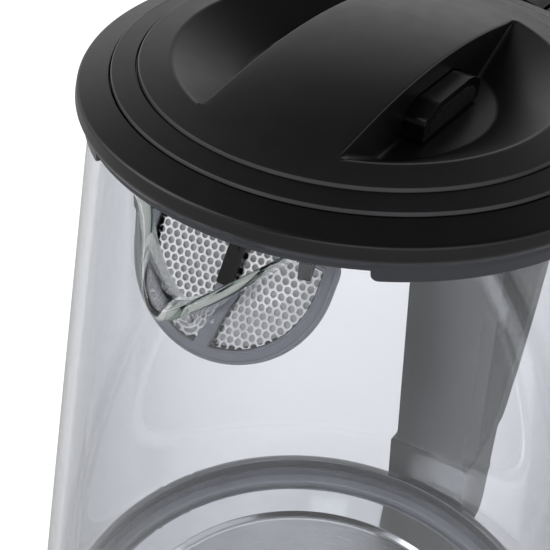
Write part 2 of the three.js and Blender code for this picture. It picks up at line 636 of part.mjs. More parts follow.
function jugShell() {
  const body = turned([
    [CONNECTOR_R + GAP, JUG_FLOOR_Z],
    [SHELL_R - 1.5, JUG_FLOOR_Z],
    [SHELL_R, JUG_FLOOR_Z + 1.7],
    [SHELL_R, SHELL_TOP_Z],
    [SHELL_R - SHELL_WALL, SHELL_TOP_Z],
    [SHELL_R - SHELL_WALL, SHELL_FLOOR_Z],
    [CONNECTOR_R + GAP, SHELL_FLOOR_Z],
  ]);
  const bosses = threeRound.map((angle) => {
    const [x, y] = roundAt(FOOT_SCREW_R, angle);
    return moved(disc(BOSS_R, SHELL_FLOOR_Z - 1, STUD_LOW_Z - GAP, SMALL_ROUND), x, y, 0);
  });
  const holes = threeRound.map((angle) => (
    screwHole(FOOT_SCREW_LENGTH, 3, roundAt(FOOT_SCREW_R, angle, FOOT_SCREW_Z))
  ));
  const ear = block([TRIP_EAR_X, TRIP_EAR_X + TRIP_EAR_THICK],
    [TRIP_PIVOT_Y - 3.5, TRIP_PIVOT_Y + 3.5], [SHELL_FLOOR_Z - 1, TRIP_PIVOT_Z + 3.5]);
  return joined([body, ...bosses, ear, mirrored(ear)])
    .subtract(joined(holes))
    .subtract(pivotHole(TRIP_PIVOT_Y, TRIP_PIVOT_Z, TRIP_EAR_X + 2 * TRIP_EAR_THICK))
    .subtract(footCuts);
}
add(jug, 'jug_base_shell', jugShell(), BLACK);
threeRound.forEach((angle, i) => {
  addScrew(jug, `jug_screw_${i + 1}`, FOOT_SCREW_LENGTH, roundAt(FOOT_SCREW_R, angle, FOOT_SCREW_Z));
});

// ---------------------------------------------------------------- heater and control
const SPREADER_LOW_Z = PLATE_LOW_Z - GAP - SPREADER_THICK;
add(jug, 'heat_spreader',
  ring(6, SPREADER_R, SPREADER_LOW_Z, PLATE_LOW_Z - GAP, MEDIUM_ROUND), ALUMINIUM);

class RingArc extends THREE.Curve {
  constructor(radius, from, to, z) {
    super();
    Object.assign(this, { radius, from, to, z });
  }

  getPoint(t, target = new THREE.Vector3()) {
    const angle = radians(this.from + (this.to - this.from) * t);
    return target.set(this.radius * Math.cos(angle), this.radius * Math.sin(angle), this.z);
  }
}

function heatingElement() {
  const z = SPREADER_LOW_Z - GAP - ELEMENT_R;
  const from = 90 + ELEMENT_GAP_ANGLE / 2;
  const to = 450 - ELEMENT_GAP_ANGLE / 2;
  const tube = sweep(new RingArc(ELEMENT_RING_R, from, to, z), ELEMENT_R, 7, 24);
  const tails = [from + 4, to - 4].map((angle) => {
    const [x, y] = roundAt(ELEMENT_RING_R, angle);
    return rod(1.4, [x, y, z], [x, y, SHELL_FLOOR_Z + 1.2], 8);
  });
  return joined([tube, ...tails]);
}
add(jug, 'heating_element', heatingElement(), ALUMINIUM);

const CONTROL_HALF_X = 24;
const CONTROL_HALF_Y = 26;
const controlUnit = block([-CONTROL_HALF_X, CONTROL_HALF_X], [-CONTROL_HALF_Y, CONTROL_HALF_Y],
  [CONNECTOR_TOP_Z + GAP, SPREADER_LOW_Z - GAP]);
add(jug, 'control_unit', controlUnit, NYLON);

// ---------------------------------------------------------------- connector, turns in the jug
const BLADE_LOW_Z = TOWER_TOP_Z - BLADE_REACH;
const BLADE_TOP_Z = RECESS_TOP_INSIDE_Z + 1.8;
const bladeInnerR = BLADE_R - BLADE_THICK / 2;
const bladeOuterR = BLADE_R + BLADE_THICK / 2;
const connectorBody = turned([
  [0, RECESS_TOP_INSIDE_Z],
  [TOWER_R + CONNECTOR_PLAY, RECESS_TOP_INSIDE_Z],
  [TOWER_R + CONNECTOR_PLAY + 1, JUG_FLOOR_Z],
  [CONNECTOR_R, JUG_FLOOR_Z],
  [CONNECTOR_R, CONNECTOR_TOP_Z],
  [0, CONNECTOR_TOP_Z],
], MEDIUM_ROUND);
add(connector, 'jug_connector', connectorBody
  .subtract(ring(bladeInnerR - GAP, bladeOuterR + GAP, RECESS_TOP_INSIDE_Z - 1, BLADE_TOP_Z + GAP,
    MEDIUM_ROUND))
  .subtract(disc(CENTRE_PIN_R + GAP, RECESS_TOP_INSIDE_Z - 1, BLADE_TOP_Z + GAP, SMALL_ROUND)), NYLON);
add(connector, 'ring_blade',
  ring(bladeInnerR, bladeOuterR, BLADE_LOW_Z, BLADE_TOP_Z, MEDIUM_ROUND), BRASS);
add(connector, 'centre_pin', turned([
  [0, BLADE_LOW_Z],
  [CENTRE_PIN_R - 1, BLADE_LOW_Z],
  [CENTRE_PIN_R, BLADE_LOW_Z + 1],
  [CENTRE_PIN_R, BLADE_TOP_Z],
  [0, BLADE_TOP_Z],
], SMALL_ROUND), BRASS);

// ---------------------------------------------------------------- handle
const UPPER_ARM_Z = RIM_Z - HANDLE_TOP_DROP;
const gripPath = new THREE.SplineCurve([
  [COLLAR_R - 8, UPPER_ARM_Z],
  [COLLAR_R + 24, UPPER_ARM_Z],
  [COLLAR_R + 51, UPPER_ARM_Z - 6],
  [COLLAR_R + 71, UPPER_ARM_Z - 25],
  [COLLAR_R + 77, UPPER_ARM_Z - 56],
  [FOOT_Y + 22, FOOT_TOP_Z + 60],
  [FOOT_Y + 7, FOOT_TOP_Z + 25],
  [FOOT_Y - 10, FOOT_TOP_Z - 5],
].map(([y, z]) => new THREE.Vector2(y, z)));

// The grip's path moved outwards by a distance, as [y, z] points.
function besidePath(distance) {
  const count = 20;
  return Array.from({ length: count + 1 }, (_, i) => {
    const at = gripPath.getPointAt(i / count);
    const along = gripPath.getTangentAt(i / count);
    return [at.x - distance * along.y, at.y + distance * along.x];
  });
}
const alongPath = (inside, outside) => [...besidePath(outside), ...besidePath(inside).reverse()];

// What the handle must stay clear of: the glass, the collar and the steel band.
const skirtZ = RIM_Z + COLLAR_SKIRT_Z - GAP;
const jugEnvelope = turned([
  [0, JUG_FLOOR_Z - 5],
  [BAND_R + GAP, JUG_FLOOR_Z - 5],
  [BAND_R + GAP, BAND_TOP_Z + GAP],
  [glassRadius(BAND_TOP_Z + GAP) + GAP, BAND_TOP_Z + GAP],
  [glassRadius(skirtZ) + GAP, skirtZ],
  [COLLAR_R + GAP, skirtZ],
  [COLLAR_R + GAP, RIM_Z + 20],
  [0, RIM_Z + 20],
]);
const belowFoot = block([-30, 30], [0, FOOT_Y + 60], [0, FOOT_TOP_Z + GAP]);

const gripHalf = HANDLE_DEPTH / 2;
const channelHalf = HANDLE_TUBE_R + 1.2;
const gripBody = sideProfile(alongPath(-gripHalf, gripHalf), HANDLE_WIDTH, HANDLE_BEVEL);
const insideHalf = sideProfile(alongPath(-gripHalf - 2, GAP / 2), HANDLE_WIDTH + 8);
const outsideHalf = sideProfile(alongPath(-GAP / 2, gripHalf + 3), HANDLE_WIDTH + 8);
const tubeChannel = sideProfile(alongPath(-channelHalf, channelHalf), 2 * channelHalf);
const handleScrewAt = [LUG_SCREW_X, LUG_SCREW_Y, RIM_Z + HANDLE_SCREW_Z];
const handleScrewCut = screwHole(HANDLE_SCREW_LENGTH, 8, handleScrewAt);

function handleCover() {
  const wide = block([-HANDLE_WIDTH / 2 + 1.1, HANDLE_WIDTH / 2 - 1.1], [COLLAR_R - 5, LUG_END_Y + 1.5],
    [UPPER_ARM_Z - GAP, RIM_Z + STEAM_SLOT_TOP_Z]);
  const narrow = block([-channelHalf, channelHalf], [COLLAR_R, COLLAR_R + 27],
    [UPPER_ARM_Z - GAP, RIM_Z + 1]);
  return gripBody
    .subtract(insideHalf)
    .subtract(joined([jugEnvelope, belowFoot, tubeChannel, wide, narrow]));
}
add(handle, 'handle_cover', handleCover(), BLACK);

function handleFrame() {
  const boss = moved(disc(LUG_WIDTH / 2, UPPER_ARM_Z - 3, RIM_Z + LUG_LOW_Z - GAP, SMALL_ROUND),
    LUG_SCREW_X, LUG_SCREW_Y, 0);
  return gripBody
    .subtract(outsideHalf)
    .subtract(joined([jugEnvelope, belowFoot, tubeChannel]))
    .add(boss)
    .add(mirrored(boss))
    .subtract(handleScrewCut)
    .subtract(mirrored(handleScrewCut));
}
add(handle, 'handle_frame', handleFrame(), BLACK);
[['left', -1], ['right', 1]].forEach(([side, sign]) => {
  const [x, y, z] = handleScrewAt;
  addScrew(handle, `handle_screw_${side}`, HANDLE_SCREW_LENGTH, [sign * x, y, z]);
});

const armLowZ = UPPER_ARM_Z - gripHalf - GAP;
const stripOutline = [
  [glassRadius(FOOT_TOP_Z) - 8, FOOT_TOP_Z + GAP],
  [glassRadius(FOOT_TOP_Z) + GAP + STRIP_THICK, FOOT_TOP_Z + GAP],
  [glassRadius(armLowZ) + GAP + STRIP_THICK, armLowZ],
  [glassRadius(armLowZ) - 8, armLowZ],
];
add(handle, 'handle_strip',
  sideProfile(stripOutline, STRIP_WIDTH).subtract(jugEnvelope), BLACK);

// The switch housing at the foot of the handle.
const FOOT_HALF = HANDLE_WIDTH / 2;
const footCavityY = [BAND_R + 3.2, FOOT_Y - FOOT_WALL];
const footCavityZ = [JUG_FLOOR_Z + 3.7, FOOT_TOP_Z - FOOT_WALL];
const SHELF_Z = 44;
const STEAM_TUBE_Y = FOOT_Y - 9;  // where the steam tube comes into the housing

function handleFoot() {
  const low = JUG_FLOOR_Z + 1.2;
  const body = sideProfile([
    [glassRadius(FOOT_TOP_Z) - 8, FOOT_TOP_Z],
    [FOOT_Y, FOOT_TOP_Z],
    [FOOT_Y, low + 9],
    [FOOT_Y - 3, low + 3],
    [FOOT_Y - 9, low],
    [glassRadius(FOOT_TOP_Z) - 8, low],
  ], 2 * FOOT_HALF);
  const inside = FOOT_HALF - FOOT_WALL;
  const cavity = block([-inside, inside], footCavityY, footCavityZ);
  const shelf = block([-inside - 1, inside + 1], [footCavityY[0] - 1, footCavityY[0] + 10],
    [SHELF_Z, SHELF_Z + 2]);
  const tubeHole = block([-channelHalf, channelHalf],
    [STEAM_TUBE_Y - channelHalf - 1, STEAM_TUBE_Y + channelHalf + 2.5],
    [FOOT_TOP_Z - 5, FOOT_TOP_Z + 1]);
  const leverSlot = block([-inside + 1, inside - 1], [FOOT_Y - 5, FOOT_Y + 1],
    [SWITCH_PIVOT_Z - 7.5, SWITCH_PIVOT_Z + 6]);
  return body
    .subtract(jugEnvelope)
    .subtract(cavity)
    .add(shelf)
    .subtract(joined([tubeHole, leverSlot]))
    .subtract(footCuts)
    .subtract(pivotHole(SWITCH_PIVOT_Y, SWITCH_PIVOT_Z, FOOT_HALF + 5));
}
add(handle, 'handle_foot', handleFoot(), BLACK);
[['left', -1], ['right', 1]].forEach(([side, sign]) => {
  const screw = addScrew(handle, `foot_screw_${side}`, FOOT_SIDE_SCREW_LENGTH,
    [sign * FOOT_SIDE_SCREW_X, FOOT_SIDE_SCREW_Y, FOOT_SIDE_SCREW_Z]);
  screw.rotation.x = -Math.PI / 2;
});

const BIMETAL_R = 4.6;
add(handle, 'bimetal_disc', ring(0.9, BIMETAL_R, 0, 0.6, SMALL_ROUND), BRASS)
  .position.set(0, footCavityY[0] + BIMETAL_R + 0.4, SHELF_Z + 2 + GAP);

function steamTube() {
  const alongGrip = [0.15, 0.2, 0.25, 0.3, 0.4, 0.5, 0.6, 0.7, 0.8, 0.9, 0.96];
  const points = [
    [COLLAR_R + 1, RIM_Z - 1],
    [COLLAR_R + 9, RIM_Z - 1.6],
    ...alongGrip.map((t) => gripPath.getPointAt(t).toArray()),
    [STEAM_TUBE_Y, FOOT_TOP_Z - 12],
  ];
  const curve = new THREE.CatmullRomCurve3(points.map(([y, z]) => new THREE.Vector3(0, y, z)));
  return sweep(curve, HANDLE_TUBE_R, 6, 34);
}
add(handle, 'steam_tube', steamTube(), SILICONE);

// ---------------------------------------------------------------- switch
const FOOT_INSIDE = FOOT_HALF - FOOT_WALL;
const HUB_R = 3.6;
const TAIL_HALF = 3.8;
const TAIL_TOP_Z = TRIP_PIVOT_Z - 1.2;
add(handle, 'switch_pin',
  rod(PIVOT_PIN_R, [-FOOT_HALF + 0.6, SWITCH_PIVOT_Y, SWITCH_PIVOT_Z],
    [FOOT_HALF - 0.6, SWITCH_PIVOT_Y, SWITCH_PIVOT_Z]), STEEL);

function switchLever() {
  const y = SWITCH_PIVOT_Y;
  const z = SWITCH_PIVOT_Z;
  const tip = y - SWITCH_TAIL;
  const tail = sideProfile([
    [tip, TAIL_TOP_Z - 2],
    [tip, TAIL_TOP_Z],
    [y - 7, TAIL_TOP_Z + 1.2],
    [y, z + 2.4],
    [y, z - 3],
    [y - 7, TAIL_TOP_Z - 2],
  ], 2 * TAIL_HALF);
  const paddle = sideProfile([
    [y, z - 2],
    [FOOT_Y - 1, z - LEVER_THICK / 2],
    [y + SWITCH_PADDLE, z - LEVER_THICK / 2 - 1],
    [y + SWITCH_PADDLE, z + LEVER_THICK / 2 - 1],
    [FOOT_Y - 1, z + LEVER_THICK / 2],
    [y, z + 2],
  ], 2 * (FOOT_INSIDE - 1.8));
  const hub = rod(HUB_R, [-FOOT_INSIDE + 0.5, y, z], [FOOT_INSIDE - 0.5, y, z]);
  return joined([tail, paddle, hub]).subtract(pivotHole(y, z, FOOT_HALF));
}
add(handle, 'switch_lever', switchLever(), BLACK);

const tripEndY = SWITCH_PIVOT_Y - SWITCH_TAIL + 2.5;
add(jug, 'trip_pin',
  rod(PIVOT_PIN_R, [-TRIP_PIN_HALF, TRIP_PIVOT_Y, TRIP_PIVOT_Z],
    [TRIP_PIN_HALF, TRIP_PIVOT_Y, TRIP_PIVOT_Z]), STEEL);

function tripLever() {
  const half = TRIP_EAR_X - 0.4;
  const arm = block([-half, half], [TRIP_PIVOT_Y - 4, tripEndY],
    [TRIP_PIVOT_Z - 0.9, TRIP_PIVOT_Z + 1.1]);
  const hub = rod(HUB_R - 0.8, [-half, TRIP_PIVOT_Y, TRIP_PIVOT_Z], [half, TRIP_PIVOT_Y, TRIP_PIVOT_Z]);
  return arm.add(hub).subtract(pivotHole(TRIP_PIVOT_Y, TRIP_PIVOT_Z, TRIP_EAR_X + 1));
}
add(jug, 'trip_lever', tripLever(), NYLON);

// ---------------------------------------------------------------- lid, heights from RIM_Z
// Underside and top of the dome at a radius.
const domeLine = [
  [0, LID_CROWN_Z],
  [15.4, LID_CROWN_Z - 0.7],
  [27, LID_CROWN_Z - 2.3],
  [RECESS_TOP_R, RECESS_TOP_Z],
  [LID_STEP_R, RECESS_TOP_Z - 1.1],
  [LID_STEP_R + 0.8, RECESS_TOP_Z - 1.6],
  [LID_R, COLLAR_SEAM_Z],
];
const lidInside = domeLine.slice(0, 5).map(([r, z]) => [r, z - LID_WALL]);
const recessSlope = (RECESS_TOP_R - RECESS_FLOOR_R) / (RECESS_TOP_Z - RECESS_FLOOR_Z);
const POST_Y = 38;
const POST_LOW_Z = -2;
const LID_SCREW_Z = PLUG_FLOOR_Z + 0.4;
const LID_SCREW_LENGTH = 9;
const SPRING_WALL = 1.5;
const SLIDE_INNER_X = BRIDGE_HALF - RECESS_WALL - GAP - BUTTON_FLANGE;
const springZ = (BUTTON_LOW_Z + BUTTON_HIGH_Z) / 2;

// A finger recess on the +X side; grown makes the outside of its wall.
function recess(grown) {
  const z0 = RECESS_FLOOR_Z - grown;
  const z1 = LID_CROWN_Z + 4;
  const r0 = RECESS_FLOOR_R + grown * 0.6;
  const cone = turned([[0, z0], [r0, z0], [r0 + (z1 - z0) * recessSlope, z1], [0, z1]]);
  return cone.intersect(block([BRIDGE_HALF - grown, 80], [-80, 80], [z0 - 1, z1 + 1]));
}

function lidTop() {
  const shell = turned([
    ...domeLine,
    [LID_R, LEDGE_Z + GAP],
    [PLUG_R - 1, LEDGE_Z + GAP],
    ...lidInside.reverse(),
  ]);
  const underDome = turned([[0, -20], [LID_R, -20], ...[...domeLine].reverse()]);
  const cup = recess(RECESS_WALL).intersect(underDome);
  const slot = block([BRIDGE_HALF - 2 * RECESS_WALL, BRIDGE_HALF + 1],
    [-BUTTON_HALF_LENGTH - GAP, BUTTON_HALF_LENGTH + GAP], [BUTTON_LOW_Z - GAP, BUTTON_HIGH_Z + GAP]);
  const springWall = block([-SPRING_WALL, SPRING_WALL], [-6, 6],
    [BUTTON_LOW_Z, LID_CROWN_Z - LID_WALL + 0.6]);
  const posts = [-1, 1].map((sign) => (
    moved(disc(BOSS_R - 0.6, POST_LOW_Z, RECESS_TOP_Z - 0.6, SMALL_ROUND), 0, sign * POST_Y, 0)
  ));
  const bores = [-1, 1].map((sign) => moved(
    disc(SCREW_R + GAP, POST_LOW_Z - 1, LID_SCREW_Z + LID_SCREW_LENGTH + GAP, SMALL_ROUND),
    0, sign * POST_Y, 0));
  return joined([shell, cup, mirrored(cup), springWall, ...posts])
    .subtract(recess(0))
    .subtract(mirrored(recess(0)))
    .subtract(slot)
    .subtract(mirrored(slot))
    .subtract(joined(bores));
}
add(lid, 'lid_top', lidTop(), BLACK);

const SEAL_HIGH_Z = -0.4;
const SEAL_LOW_Z = LATCH_TOP_Z + 0.7;
const SEAL_DEPTH = 1.4;

function lidPlug() {
  const inner = PLUG_R - PLUG_WALL;
  const body = turned([
    [0, -PLUG_DEPTH],
    [PLUG_R - 1, -PLUG_DEPTH],
    [PLUG_R, -PLUG_DEPTH + 1],
    [PLUG_R, SEAL_LOW_Z - GAP / 2],
    [PLUG_R - SEAL_DEPTH - GAP, SEAL_LOW_Z - GAP / 2],
    [PLUG_R - SEAL_DEPTH - GAP, SEAL_HIGH_Z + GAP / 2],
    [PLUG_R, SEAL_HIGH_Z + GAP / 2],
    [PLUG_R, LEDGE_Z],
    [inner, LEDGE_Z],
    [inner, PLUG_FLOOR_Z],
    [0, PLUG_FLOOR_Z],
  ]);
  const latchWindow = block([inner - 3, PLUG_R + 1], [-LATCH_HALF_WIDTH - GAP, LATCH_HALF_WIDTH + GAP],
    [LATCH_LOW_Z - GAP, LATCH_TOP_Z + GAP]);
  const port = block([-STEAM_SLOT_HALF, STEAM_SLOT_HALF], [inner - 3, PLUG_R + 1],
    [SEAL_HIGH_Z + GAP, STEAM_SLOT_TOP_Z]);
  const steamHoles = [-8, -4, 0, 4, 8].map((x) => (
    moved(disc(1.2, -PLUG_DEPTH - 1, PLUG_FLOOR_Z + 1, 8), x, POST_Y - 10, 0)
  ));
  const bosses = [-1, 1].map((sign) => (
    moved(disc(BOSS_R + 0.6, PLUG_FLOOR_Z - 1, POST_LOW_Z - GAP, SMALL_ROUND), 0, sign * POST_Y, 0)
  ));
  const screws = [-1, 1].map((sign) => (
    screwHole(LID_SCREW_LENGTH, 4, [0, sign * POST_Y, LID_SCREW_Z])
  ));
  return joined([body, ...bosses])
    .subtract(joined([latchWindow, mirrored(latchWindow), port, ...steamHoles, ...screws]));
}
add(lid, 'lid_plug', lidPlug(), BLACK);
add(lid, 'lid_seal', ring(PLUG_R - SEAL_DEPTH, PLUG_R, SEAL_LOW_Z + GAP / 2, SEAL_HIGH_Z - GAP / 2),
  SILICONE);
[-1, 1].forEach((sign, i) => {
  addScrew(lid, `lid_screw_${i + 1}`, LID_SCREW_LENGTH, [0, sign * POST_Y, LID_SCREW_Z]);
});

// Buttons, latches and springs, built on the +X side.
function lidButton() {
  const half = BUTTON_HALF_LENGTH;
  const outline = (inset) => {
    const low = BUTTON_LOW_Z + inset;
    const high = BUTTON_HIGH_Z - inset;
    const long = half - inset;
    return [
      [-long, low + 1.5], [-long + 1.5, low], [long - 1.5, low], [long, low + 1.5],
      [long, high - 2], [long - 0.8, high - 0.7], [long - 2.6, high],
      [-long + 2.6, high], [-long + 0.8, high - 0.7], [-long, high - 2],
    ];
  };
  const stem = sideProfile(outline(0), BUTTON_STAND + RECESS_WALL + 1.5, 0.6,
    BRIDGE_HALF + (BUTTON_STAND - RECESS_WALL - 1.5) / 2);
  const flange = block([SLIDE_INNER_X, SLIDE_INNER_X + BUTTON_FLANGE],
    [-half - 1.6, half + 1.6], [BUTTON_LOW_Z - 1.5, BUTTON_HIGH_Z + 1.2]);
  return stem.add(flange);
}

function lidLatch() {
  // Fully pressed, the two arms' inner ends all but meet in the middle.
  const arm = block([BUTTON_TRAVEL + GAP, PLUG_R], [-LATCH_HALF_WIDTH, LATCH_HALF_WIDTH],
    [LATCH_LOW_Z, LATCH_TOP_Z]);
  const riser = block([SLIDE_INNER_X, SLIDE_INNER_X + BUTTON_FLANGE],
    [-LATCH_HALF_WIDTH, LATCH_HALF_WIDTH], [LATCH_LOW_Z, BUTTON_LOW_Z - 1.5 - GAP]);
  const round = turned([[0, LATCH_LOW_Z - 1], [PLUG_R, LATCH_LOW_Z - 1], [PLUG_R, LATCH_TOP_Z],
    [0, LATCH_TOP_Z]]);
  return arm.intersect(round).add(riser);
}

class Helix extends THREE.Curve {
  constructor(radius, from, to, turns, z) {
    super();
    Object.assign(this, { radius, from, to, turns, z });
  }

  getPoint(t, target = new THREE.Vector3()) {
    const angle = 2 * Math.PI * this.turns * t;
    return target.set(this.from + (this.to - this.from) * t, this.radius * Math.cos(angle),
      this.z + this.radius * Math.sin(angle));
  }
}

function buttonSpring() {
  const from = SPRING_WALL + GAP + SPRING_WIRE_R;
  const to = SLIDE_INNER_X - GAP - SPRING_WIRE_R;
  return sweep(new Helix(SPRING_R, from, to, SPRING_TURNS, springZ), SPRING_WIRE_R, 4,
    SPRING_TURNS * 8);
}

const rightPieces = { lid_button: [lidButton(), BLACK], lid_latch: [lidLatch(), BLACK],
  lid_spring: [buttonSpring(), STEEL] };
Object.entries(rightPieces).forEach(([name, [piece, look]]) => {
  add(lid, `${name}_right`, piece, look);
  add(lid, `${name}_left`, mirrored(piece), look);
});

// ---------------------------------------------------------------- power base
const BASE_TOP_Z = JUG_FLOOR_Z - GAP;
const COVER_TOP_Z = BASE_COVER_Z + BASE_COVER_THICK;
const COVER_R = BASE_R - BASE_WALL - GAP;
const LAND_INNER_R = SHELL_R - 20;
const BASE_SCREW_RING_R = 54;
const BASE_SCREW_Z = BASE_COVER_Z + 2.3;
const BASE_SCREW_LENGTH = 7;
const BASE_POST_LOW_Z = COVER_TOP_Z + 3.2;
const TOWER_FLANGE_R = TOWER_R + 5.5;

function roundsAt(radius, degreesList, make) {
  return degreesList.map((angle) => make(roundAt(radius, angle)));
}

function gland(outer, inner, from, to) {
  const start = roundAt(from, GLAND_ANGLE, GLAND_Z);
  const end = roundAt(to, GLAND_ANGLE, GLAND_Z);
  const body = rod(outer, start, end);
  if (inner === 0) return body;
  return body.subtract(rod(inner, roundAt(from - 1, GLAND_ANGLE, GLAND_Z),
    roundAt(to + 1, GLAND_ANGLE, GLAND_Z)));
}

function baseTop() {
  const w = BASE_WALL;
  const shell = turned([
    [BASE_R - w, BASE_COVER_Z + GAP],
    [BASE_R, BASE_COVER_Z + GAP],
    [BASE_R, BASE_SHOULDER_Z],
    [BASE_R - 1.5, BASE_TOP_Z - 0.7],
    [BASE_R - 4.5, BASE_TOP_Z],
    [LAND_INNER_R, BASE_TOP_Z],
    [LAND_INNER_R - 2, BASE_DISH_Z],
    [TOWER_R + GAP, BASE_DISH_Z],
    [TOWER_R + GAP, BASE_DISH_Z - w],
    [LAND_INNER_R - 1.2, BASE_DISH_Z - w],
    [LAND_INNER_R + 0.8, BASE_TOP_Z - w],
    [BASE_R - 5.2, BASE_TOP_Z - w],
    [BASE_R - w, BASE_SHOULDER_Z - 0.8],
  ]);
  const posts = roundsAt(BASE_SCREW_RING_R, threeRound, ([x, y]) => (
    moved(disc(BOSS_R - 0.6, BASE_POST_LOW_Z, BASE_DISH_Z - w + 0.5, SMALL_ROUND), x, y, 0)
  ));
  const bores = roundsAt(BASE_SCREW_RING_R, threeRound, ([x, y]) => moved(
    disc(SCREW_R + GAP, BASE_POST_LOW_Z - 1, BASE_SCREW_Z + BASE_SCREW_LENGTH + GAP, SMALL_ROUND),
    x, y, 0));
  return joined([shell, ...posts]).subtract(joined(bores))
    .subtract(gland(GLAND_R + GAP, 0, BASE_R - 8, BASE_R + 8));
}
add(powerBase, 'base_top_shell', baseTop(), BLACK);

function baseBottom() {
  const cover = disc(COVER_R, BASE_COVER_Z, COVER_TOP_Z);
  const rib = ring(TOWER_FLANGE_R + 8, TOWER_FLANGE_R + 10, COVER_TOP_Z - 1, COVER_TOP_Z + 4);
  const bosses = roundsAt(BASE_SCREW_RING_R, threeRound, ([x, y]) => (
    moved(disc(BOSS_R + 0.6, COVER_TOP_Z - 1, BASE_POST_LOW_Z - GAP, SMALL_ROUND), x, y, 0)
  ));
  const screws = roundsAt(BASE_SCREW_RING_R, threeRound, ([x, y]) => (
    screwHole(BASE_SCREW_LENGTH, 4, [x, y, BASE_SCREW_Z])
  ));
  return joined([cover, rib, ...bosses]).subtract(joined(screws));
}
add(powerBase, 'base_bottom_cover', baseBottom(), BLACK);
threeRound.forEach((angle, i) => {
  addScrew(powerBase, `base_screw_${i + 1}`, BASE_SCREW_LENGTH,
    roundAt(BASE_SCREW_RING_R, angle, BASE_SCREW_Z));
});
[45, 135, 225, 315].forEach((angle, i) => {
  add(powerBase, `base_foot_${i + 1}`, turned([
    [0, 0], [FOOT_PAD_R - 0.6, 0], [FOOT_PAD_R, 0.6], [FOOT_PAD_R, BASE_COVER_Z - GAP],
    [0, BASE_COVER_Z - GAP],
  ], SMALL_ROUND), RUBBER).position.set(...roundAt(FOOT_PAD_RING_R, angle));
});

const slotFloorZ = BLADE_LOW_Z - 1.7;
const tower = turned([
  [0, slotFloorZ - 2.5],
  [TOWER_R - 4, slotFloorZ - 2.5],
  [TOWER_R - 4, COVER_TOP_Z + GAP],
  [TOWER_R, COVER_TOP_Z + GAP],
  [TOWER_R, BASE_DISH_Z - BASE_WALL - GAP - 2.5],
  [TOWER_FLANGE_R, BASE_DISH_Z - BASE_WALL - GAP - 2.5],
  [TOWER_FLANGE_R, BASE_DISH_Z - BASE_WALL - GAP],
  [TOWER_R, BASE_DISH_Z - BASE_WALL - GAP],
  [TOWER_R, TOWER_TOP_Z - 0.8],
  [TOWER_R - 0.8, TOWER_TOP_Z],
  [0, TOWER_TOP_Z],
], MEDIUM_ROUND);
const slotInnerR = bladeInnerR - CONTACT_SLOT_PLAY;
const slotOuterR = bladeOuterR + CONTACT_SLOT_PLAY;
const pinSlotR = CENTRE_PIN_R + CONTACT_SLOT_PLAY;
add(powerBase, 'base_connector', tower
  .subtract(ring(slotInnerR, slotOuterR, slotFloorZ, TOWER_TOP_Z + 1, MEDIUM_ROUND))
  .subtract(disc(pinSlotR, slotFloorZ, TOWER_TOP_Z + 1, SMALL_ROUND)), NYLON);
add(powerBase, 'base_ring_contact',
  ring(slotInnerR + GAP, slotOuterR - GAP, slotFloorZ + GAP, BLADE_LOW_Z - GAP, MEDIUM_ROUND),
  BRASS);
add(powerBase, 'base_pin_contact',
  disc(pinSlotR - GAP, slotFloorZ + GAP, BLADE_LOW_Z - GAP, SMALL_ROUND), BRASS);

// The rubber bush that the mains lead comes out of, with a flange inside the wall.
const glandFlange = gland(GLAND_R + GLAND_FLANGE, 0, BASE_R - BASE_WALL - 3, BASE_R - BASE_WALL - 1);
const glandBody = gland(GLAND_R, 0, BASE_R - BASE_WALL - 3, BASE_R + GLAND_LENGTH - 4);
const glandBore = gland(GLAND_BORE_R, 0, BASE_R - 12, BASE_R + GLAND_LENGTH);
add(powerBase, 'cord_gland', glandBody.add(glandFlange).subtract(glandBore), RUBBER);

export default kettle;
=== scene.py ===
"""How the electric kettle looks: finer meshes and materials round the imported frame.

Lengths are in millimetres and become metres where a mesh is made. Heights of the collar, the lid
and the filter count from RIM, the level at which the collar is widest; all others are those of the
frame. The spout points to -Y and the handle to +Y.
"""
import json
import math

import bmesh
import bpy
import numpy as np
from mathutils import Matrix, Vector


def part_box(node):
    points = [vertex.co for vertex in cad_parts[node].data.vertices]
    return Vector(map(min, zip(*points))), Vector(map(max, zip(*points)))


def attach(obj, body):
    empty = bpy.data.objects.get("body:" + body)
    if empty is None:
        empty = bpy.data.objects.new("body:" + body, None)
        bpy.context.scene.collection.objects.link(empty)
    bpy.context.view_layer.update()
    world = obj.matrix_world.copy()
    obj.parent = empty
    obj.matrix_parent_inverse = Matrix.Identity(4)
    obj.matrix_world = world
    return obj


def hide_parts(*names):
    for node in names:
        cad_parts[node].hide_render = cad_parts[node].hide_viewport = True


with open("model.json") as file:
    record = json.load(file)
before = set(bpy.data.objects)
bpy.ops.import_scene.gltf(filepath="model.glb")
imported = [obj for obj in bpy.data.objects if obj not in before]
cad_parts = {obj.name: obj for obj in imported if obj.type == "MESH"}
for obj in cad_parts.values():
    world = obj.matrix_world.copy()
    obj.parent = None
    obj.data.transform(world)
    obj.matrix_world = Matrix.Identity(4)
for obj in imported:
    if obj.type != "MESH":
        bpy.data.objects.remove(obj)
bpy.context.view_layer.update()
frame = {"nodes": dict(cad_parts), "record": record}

MM = 0.001
GAP = 0.3
ROUND = 160  # sides of a large round piece
FINE_ROUND = 240  # sides of the widest ones
SMALL_ROUND = 40
CORNER_STEPS = 4


def low(node):
    """The lowest corner of a CAD node, in millimetres."""
    return [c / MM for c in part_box(node)[0]]


def high(node):
    """The highest corner of a CAD node, in millimetres."""
    return [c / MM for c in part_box(node)[1]]


def centre_of(node):
    """The middle of a CAD node's box, in millimetres."""
    return [(a + b) / 2 for a, b in zip(low(node), high(node))]


# ------------------------------------------------------------------ sizes
RIM = high("glass_jug")[2] + 1.6
TABLE = low("base_foot_1")[2]

